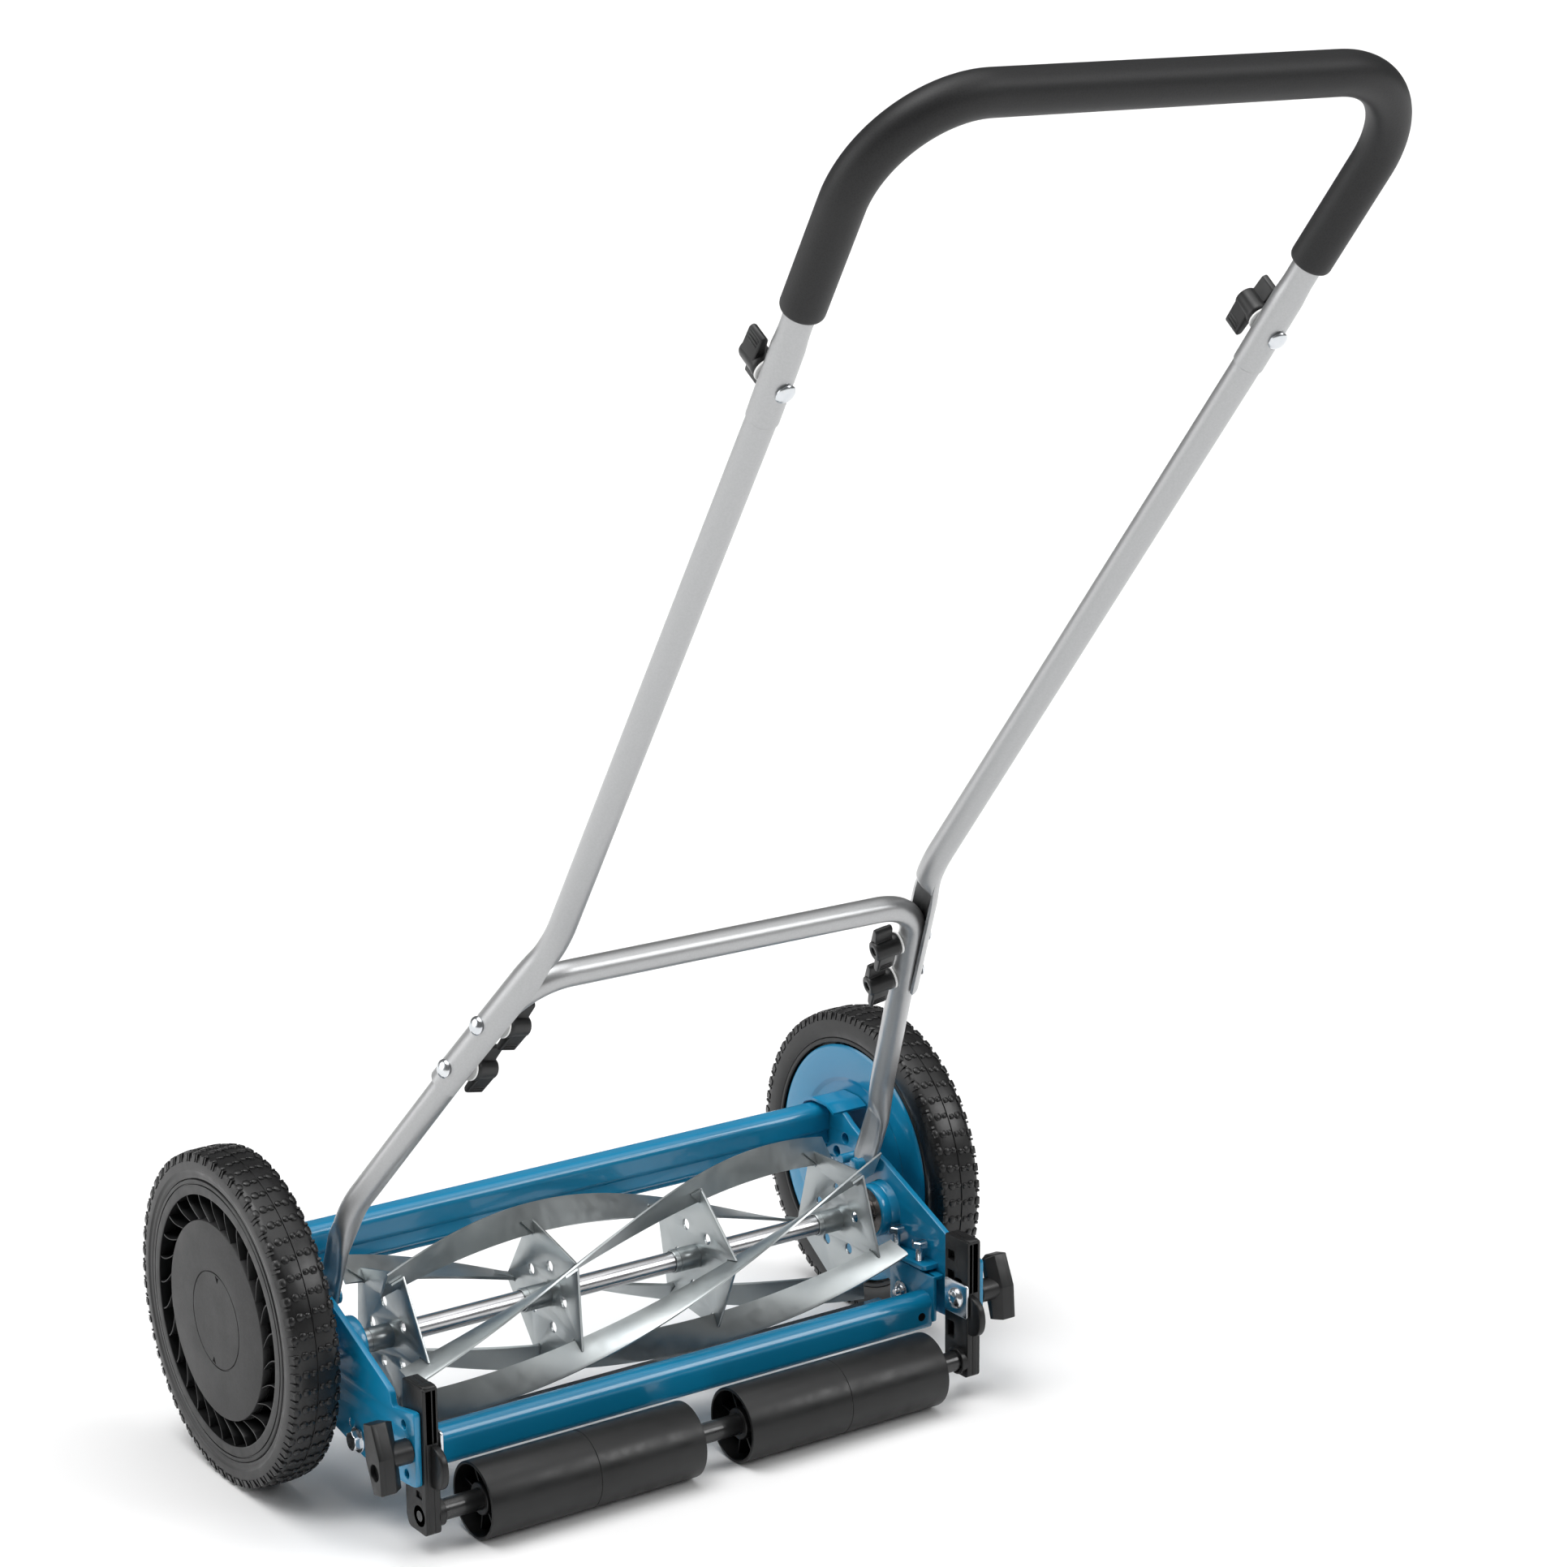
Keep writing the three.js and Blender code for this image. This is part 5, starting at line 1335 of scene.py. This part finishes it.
def foam_solid():
    """The foam sleeve round the grip: a tube with softly rounded ends and a bore."""
    path = bent([GRIP_START, GRIP_CORNER, mirror(GRIP_CORNER)], [69], step=3, straight=8)
    half = np.array([p for p in path if p[0] > 1])
    start = unit(half[1] - half[0])
    lead = [half[0] + start * d for d in (0.0, 0.0, 0.25, 0.9, 1.9, 3.2)]
    body = [p for p in half[1:] if (p - half[0]) @ start > 3.6]
    half = np.array(lead + body)
    inner = TUBE_R + 0.5
    radii = np.full(len(half), FOAM_R)
    radii[:6] = [inner, FOAM_R - 2.6, FOAM_R - 1.5, FOAM_R - 0.7, FOAM_R - 0.2, FOAM_R]
    whole = np.vstack([half, mirror(half)[::-1]])
    radii = np.r_[radii, radii[::-1]]
    tangents = np.gradient(whole[1:-1], axis=0)
    tangents = np.vstack([tangents[:1], tangents, tangents[-1:]])
    tangents /= np.linalg.norm(tangents, axis=1)[:, None]
    turn = np.arange(56) * 2 * math.pi / 56
    side, shell, bore = np.array([1.0, 0, 0]), [], []
    for place, t, r in zip(whole, tangents, radii):
        side = unit(side - t * (side @ t))
        round_it = np.cos(turn)[:, None] * side + np.sin(turn)[:, None] * np.cross(t, side)
        shell.append(place + r * round_it)
        bore.append(place + inner * round_it)
    return loft(np.array(shell + bore[1:-1][::-1]), closed=True)


def bolt_head(place, axis):
    """A shallow dome head on a short shank."""
    profile = [(6.6, 0.0), (6.7, 0.5), (6.3, 1.3), (5.2, 2.2), (3.6, 2.9), (1.8, 3.3), (0.2, 3.4)]
    return spun(profile, place, axis, 48)


def wing_solid():
    """A wing nut on its seat at the origin, standing along +Z, with an S-shaped bar of wings along X."""
    hub = [
        (3.2, 0.0),
        (7.6, 0.0),
        (8.4, 0.8),
        (8.6, 3.4),
        (8.2, 5),
        (8.0, 17.6),
        (7.4, 19.3),
        (6.2, 19.9),
        (4.0, 20.0),
        (3.2, 19.4),
    ]
    turn = np.arange(48) * 2 * math.pi / 48
    rings = [np.column_stack([r * np.cos(turn), r * np.sin(turn), np.full(48, z)]) for r, z in hub]
    solids = [loft(rings, closed=True)]
    corners = [(-2, 8), (10, 7.4), (18, 7), (20, 4.6), (18.4, 1.6), (8, 0.6)]
    corners += [(-x, -y) for x, y in corners]
    wings = flat(rounded(corners, [3, 3, 2.4, 1.6, 2.4, 2.5] * 2, 5), (), 4.5, 18.5, bevel=1.0, bevel_steps=4)
    bar = np.column_stack([wings[0][:, 1], wings[0][:, 2], wings[0][:, 0]])
    solids.append((bar, wings[1]))
    for sign in (1, -1):
        for x in (11.6, 13.9, 16.2):
            rib = tube([(x, 6.9, 6.6), (x, 7.25, 7.6), (x, 7.25, 15.6), (x, 6.9, 16.6)], 0.62, around=10)
            solids.append((rib[0] * (sign, sign, 1), rib[1]))
    return merge(*solids)


def aimed(solid, place, axis, across):
    """Puts a solid made along +Z, with its length along X, at a place."""
    axis = unit(axis)
    along = unit(across - axis * (np.asarray(across) @ axis))
    matrix = np.column_stack([along, np.cross(axis, along), axis, place])
    return moved(solid, matrix)


def make_handle():
    piece("lower_handle_look", lower_handle_solid(), "handle", "silver", ["lower_handle"], angle=60)
    piece("upper_handle_look", upper_handle_solid(), "handle", "silver", ["upper_handle"], angle=50)
    foam = piece("foam_grip_look", foam_solid(), "handle", "foam", ["foam_grip"], angle=60)
    wing, middle = wing_solid(), middle_tube_solid()
    seat = TUBE_R + 1.8
    lower_shell, upper_shell = LOWER_WRAP[0] + 0.2, SLEEVE_R + 0.1
    joints = [(f"leg_{k}", LEG_CORNER - LEG * d, LEG_OUT, LEG, lower_shell) for k, d in LOWER_BOLTS.items()]
    joints.append(("grip", UPPER_BOLT, -UPPER_FRONT, MIDDLE, upper_shell))
    ring = [(3.4, 0), (8.4, 0), (8.7, 0.3), (8.7, 1.3), (8.4, 1.6), (3.4, 1.6)]
    for side, flip in SIDES.items():
        piece(f"middle_tube_look_{side}", middle, "handle", "silver", [f"middle_tube_{side}"], angle=50, flip=flip)
        for name, place, axis, along, shell in joints:
            bolt = merge(
                bolt_head(place + axis * (shell - 0.2), axis),
                spun([(2.9, 0), (2.9, seat + shell + 14)], place + axis * (shell + 0.5), -axis, 24),
            )
            node = [f"{name}_bolt_{side}"]
            piece(f"{name}_bolt_look_{side}", bolt, "handle", "zinc", node, angle=35, flip=flip)
            washer = spun(ring, place - axis * (seat - 1.7), -axis, 40)
            piece(f"{name}_washer_{side}", washer, "handle", "washer", angle=35, flip=flip)
            knob = aimed(wing, place - axis * seat, -axis, along)
            node = [f"{name}_knob_{side}"]
            piece(f"{name}_knob_look_{side}", knob, f"{name}_knob_{side}", "black", node, angle=42, flip=flip)


# ---------------------------------------------------------------- scene


def restyle(node, look):
    """A CAD node that keeps its shape gets a finished material and smooth faces."""
    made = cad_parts[node]
    made.data.materials.clear()
    made.data.materials.append(MATERIALS[look])
    made.data.shade_smooth()
    made.data.set_sharp_from_angle(angle=math.radians(35))


def make_stage():
    mesh = bpy.data.meshes.new("floor")
    reach = 60
    mesh.from_pydata([(-reach, -reach, 0), (reach, -reach, 0), (reach, reach, 0), (-reach, reach, 0)], [], [(0, 1, 2, 3)])
    floor_look = Look("floor", (0.9, 0.9, 0.9), 0.9)
    floor_look.tint(floor_look.noise(0.6, 2), (0.995, 0.995, 0.995), (1.005, 1.005, 1.005))
    mesh.materials.append(MATERIALS["floor"])
    floor = bpy.data.objects.new("floor", mesh)
    bpy.context.scene.collection.objects.link(floor)

    world = bpy.data.worlds.new("studio")
    bpy.context.scene.world = world
    world.use_nodes = True
    tree = world.node_tree
    background = tree.nodes["Background"]
    direction = tree.nodes.new("ShaderNodeTexCoord").outputs["Generated"]

    def node(kind, operation, *values):
        made = tree.nodes.new(kind)
        made.operation = operation
        for socket, value in zip(made.inputs, values):
            if isinstance(value, (int, float, tuple)):
                socket.default_value = value
            else:
                tree.links.new(value, socket)
        return made.outputs["Value"]

    def soft_box(towards, spread, edge, strength):
        """A round soft box: full strength within spread of a direction, and nothing past its soft edge."""
        facing = node("ShaderNodeVectorMath", "DOT_PRODUCT", direction, tuple(unit(towards)))
        made = tree.nodes.new("ShaderNodeMapRange")
        made.interpolation_type = "SMOOTHSTEP"
        for socket, value in (
            ("From Min", math.cos(math.radians(spread + edge))),
            ("From Max", math.cos(math.radians(spread))),
            ("To Min", 0.0),
            ("To Max", strength),
        ):
            made.inputs[socket].default_value = value
        tree.links.new(facing, made.inputs["Value"])
        return made.outputs["Result"]

    total = SKY
    for box_light in SOFT_BOXES:
        total = node("ShaderNodeMath", "ADD", total, soft_box(*box_light))
    tree.links.new(total, background.inputs["Strength"])
    background.inputs["Color"].default_value = (1, 1, 1, 1)

    for name, towards, power, spread in SUNS:
        light = bpy.data.lights.new(name, "SUN")
        light.energy = power
        light.angle = math.radians(spread)
        lamp = bpy.data.objects.new(name, light)
        lamp.rotation_euler = Vector(towards).to_track_quat("Z", "Y").to_euler()
        bpy.context.scene.collection.objects.link(lamp)
    bpy.context.scene.view_settings.view_transform = "Standard"


def make_camera():
    azimuth, elevation, roll = -0.6023190500, 0.2504435707, -0.0075288892
    place = (-1.3846058752, -2.3072246268 + AXLE_Y * MM, 1.1669200519)
    focal, width = 4583.1346, 1932
    back = Vector((
        math.sin(azimuth) * math.cos(elevation),
        -math.cos(azimuth) * math.cos(elevation),
        math.sin(elevation),
    ))
    right = (-back).cross(Vector((0, 0, 1))).normalized()
    up = right.cross(-back)
    turned_right = right * math.cos(roll) + up * math.sin(roll)
    turned_up = up * math.cos(roll) - right * math.sin(roll)
    camera = bpy.data.cameras.new("camera")
    camera.sensor_width = 36
    camera.lens = focal / width * camera.sensor_width
    camera.clip_start, camera.clip_end = 0.05, 200
    made = bpy.data.objects.new("camera", camera)
    axes = Matrix((turned_right, turned_up, back)).transposed()
    made.matrix_world = Matrix.Translation(place) @ axes.to_4x4()
    bpy.context.scene.collection.objects.link(made)
    bpy.context.scene.camera = made


make_camera()
make_materials()
make_stage()
make_wheels()
make_reel()
make_side_plates()
make_crossbar()
make_bed()
make_fasteners()
make_roller()
make_handle()
for side in SIDES:
    restyle(f"axle_{side}", "zinc")
    restyle(f"pinion_{side}", "steel")
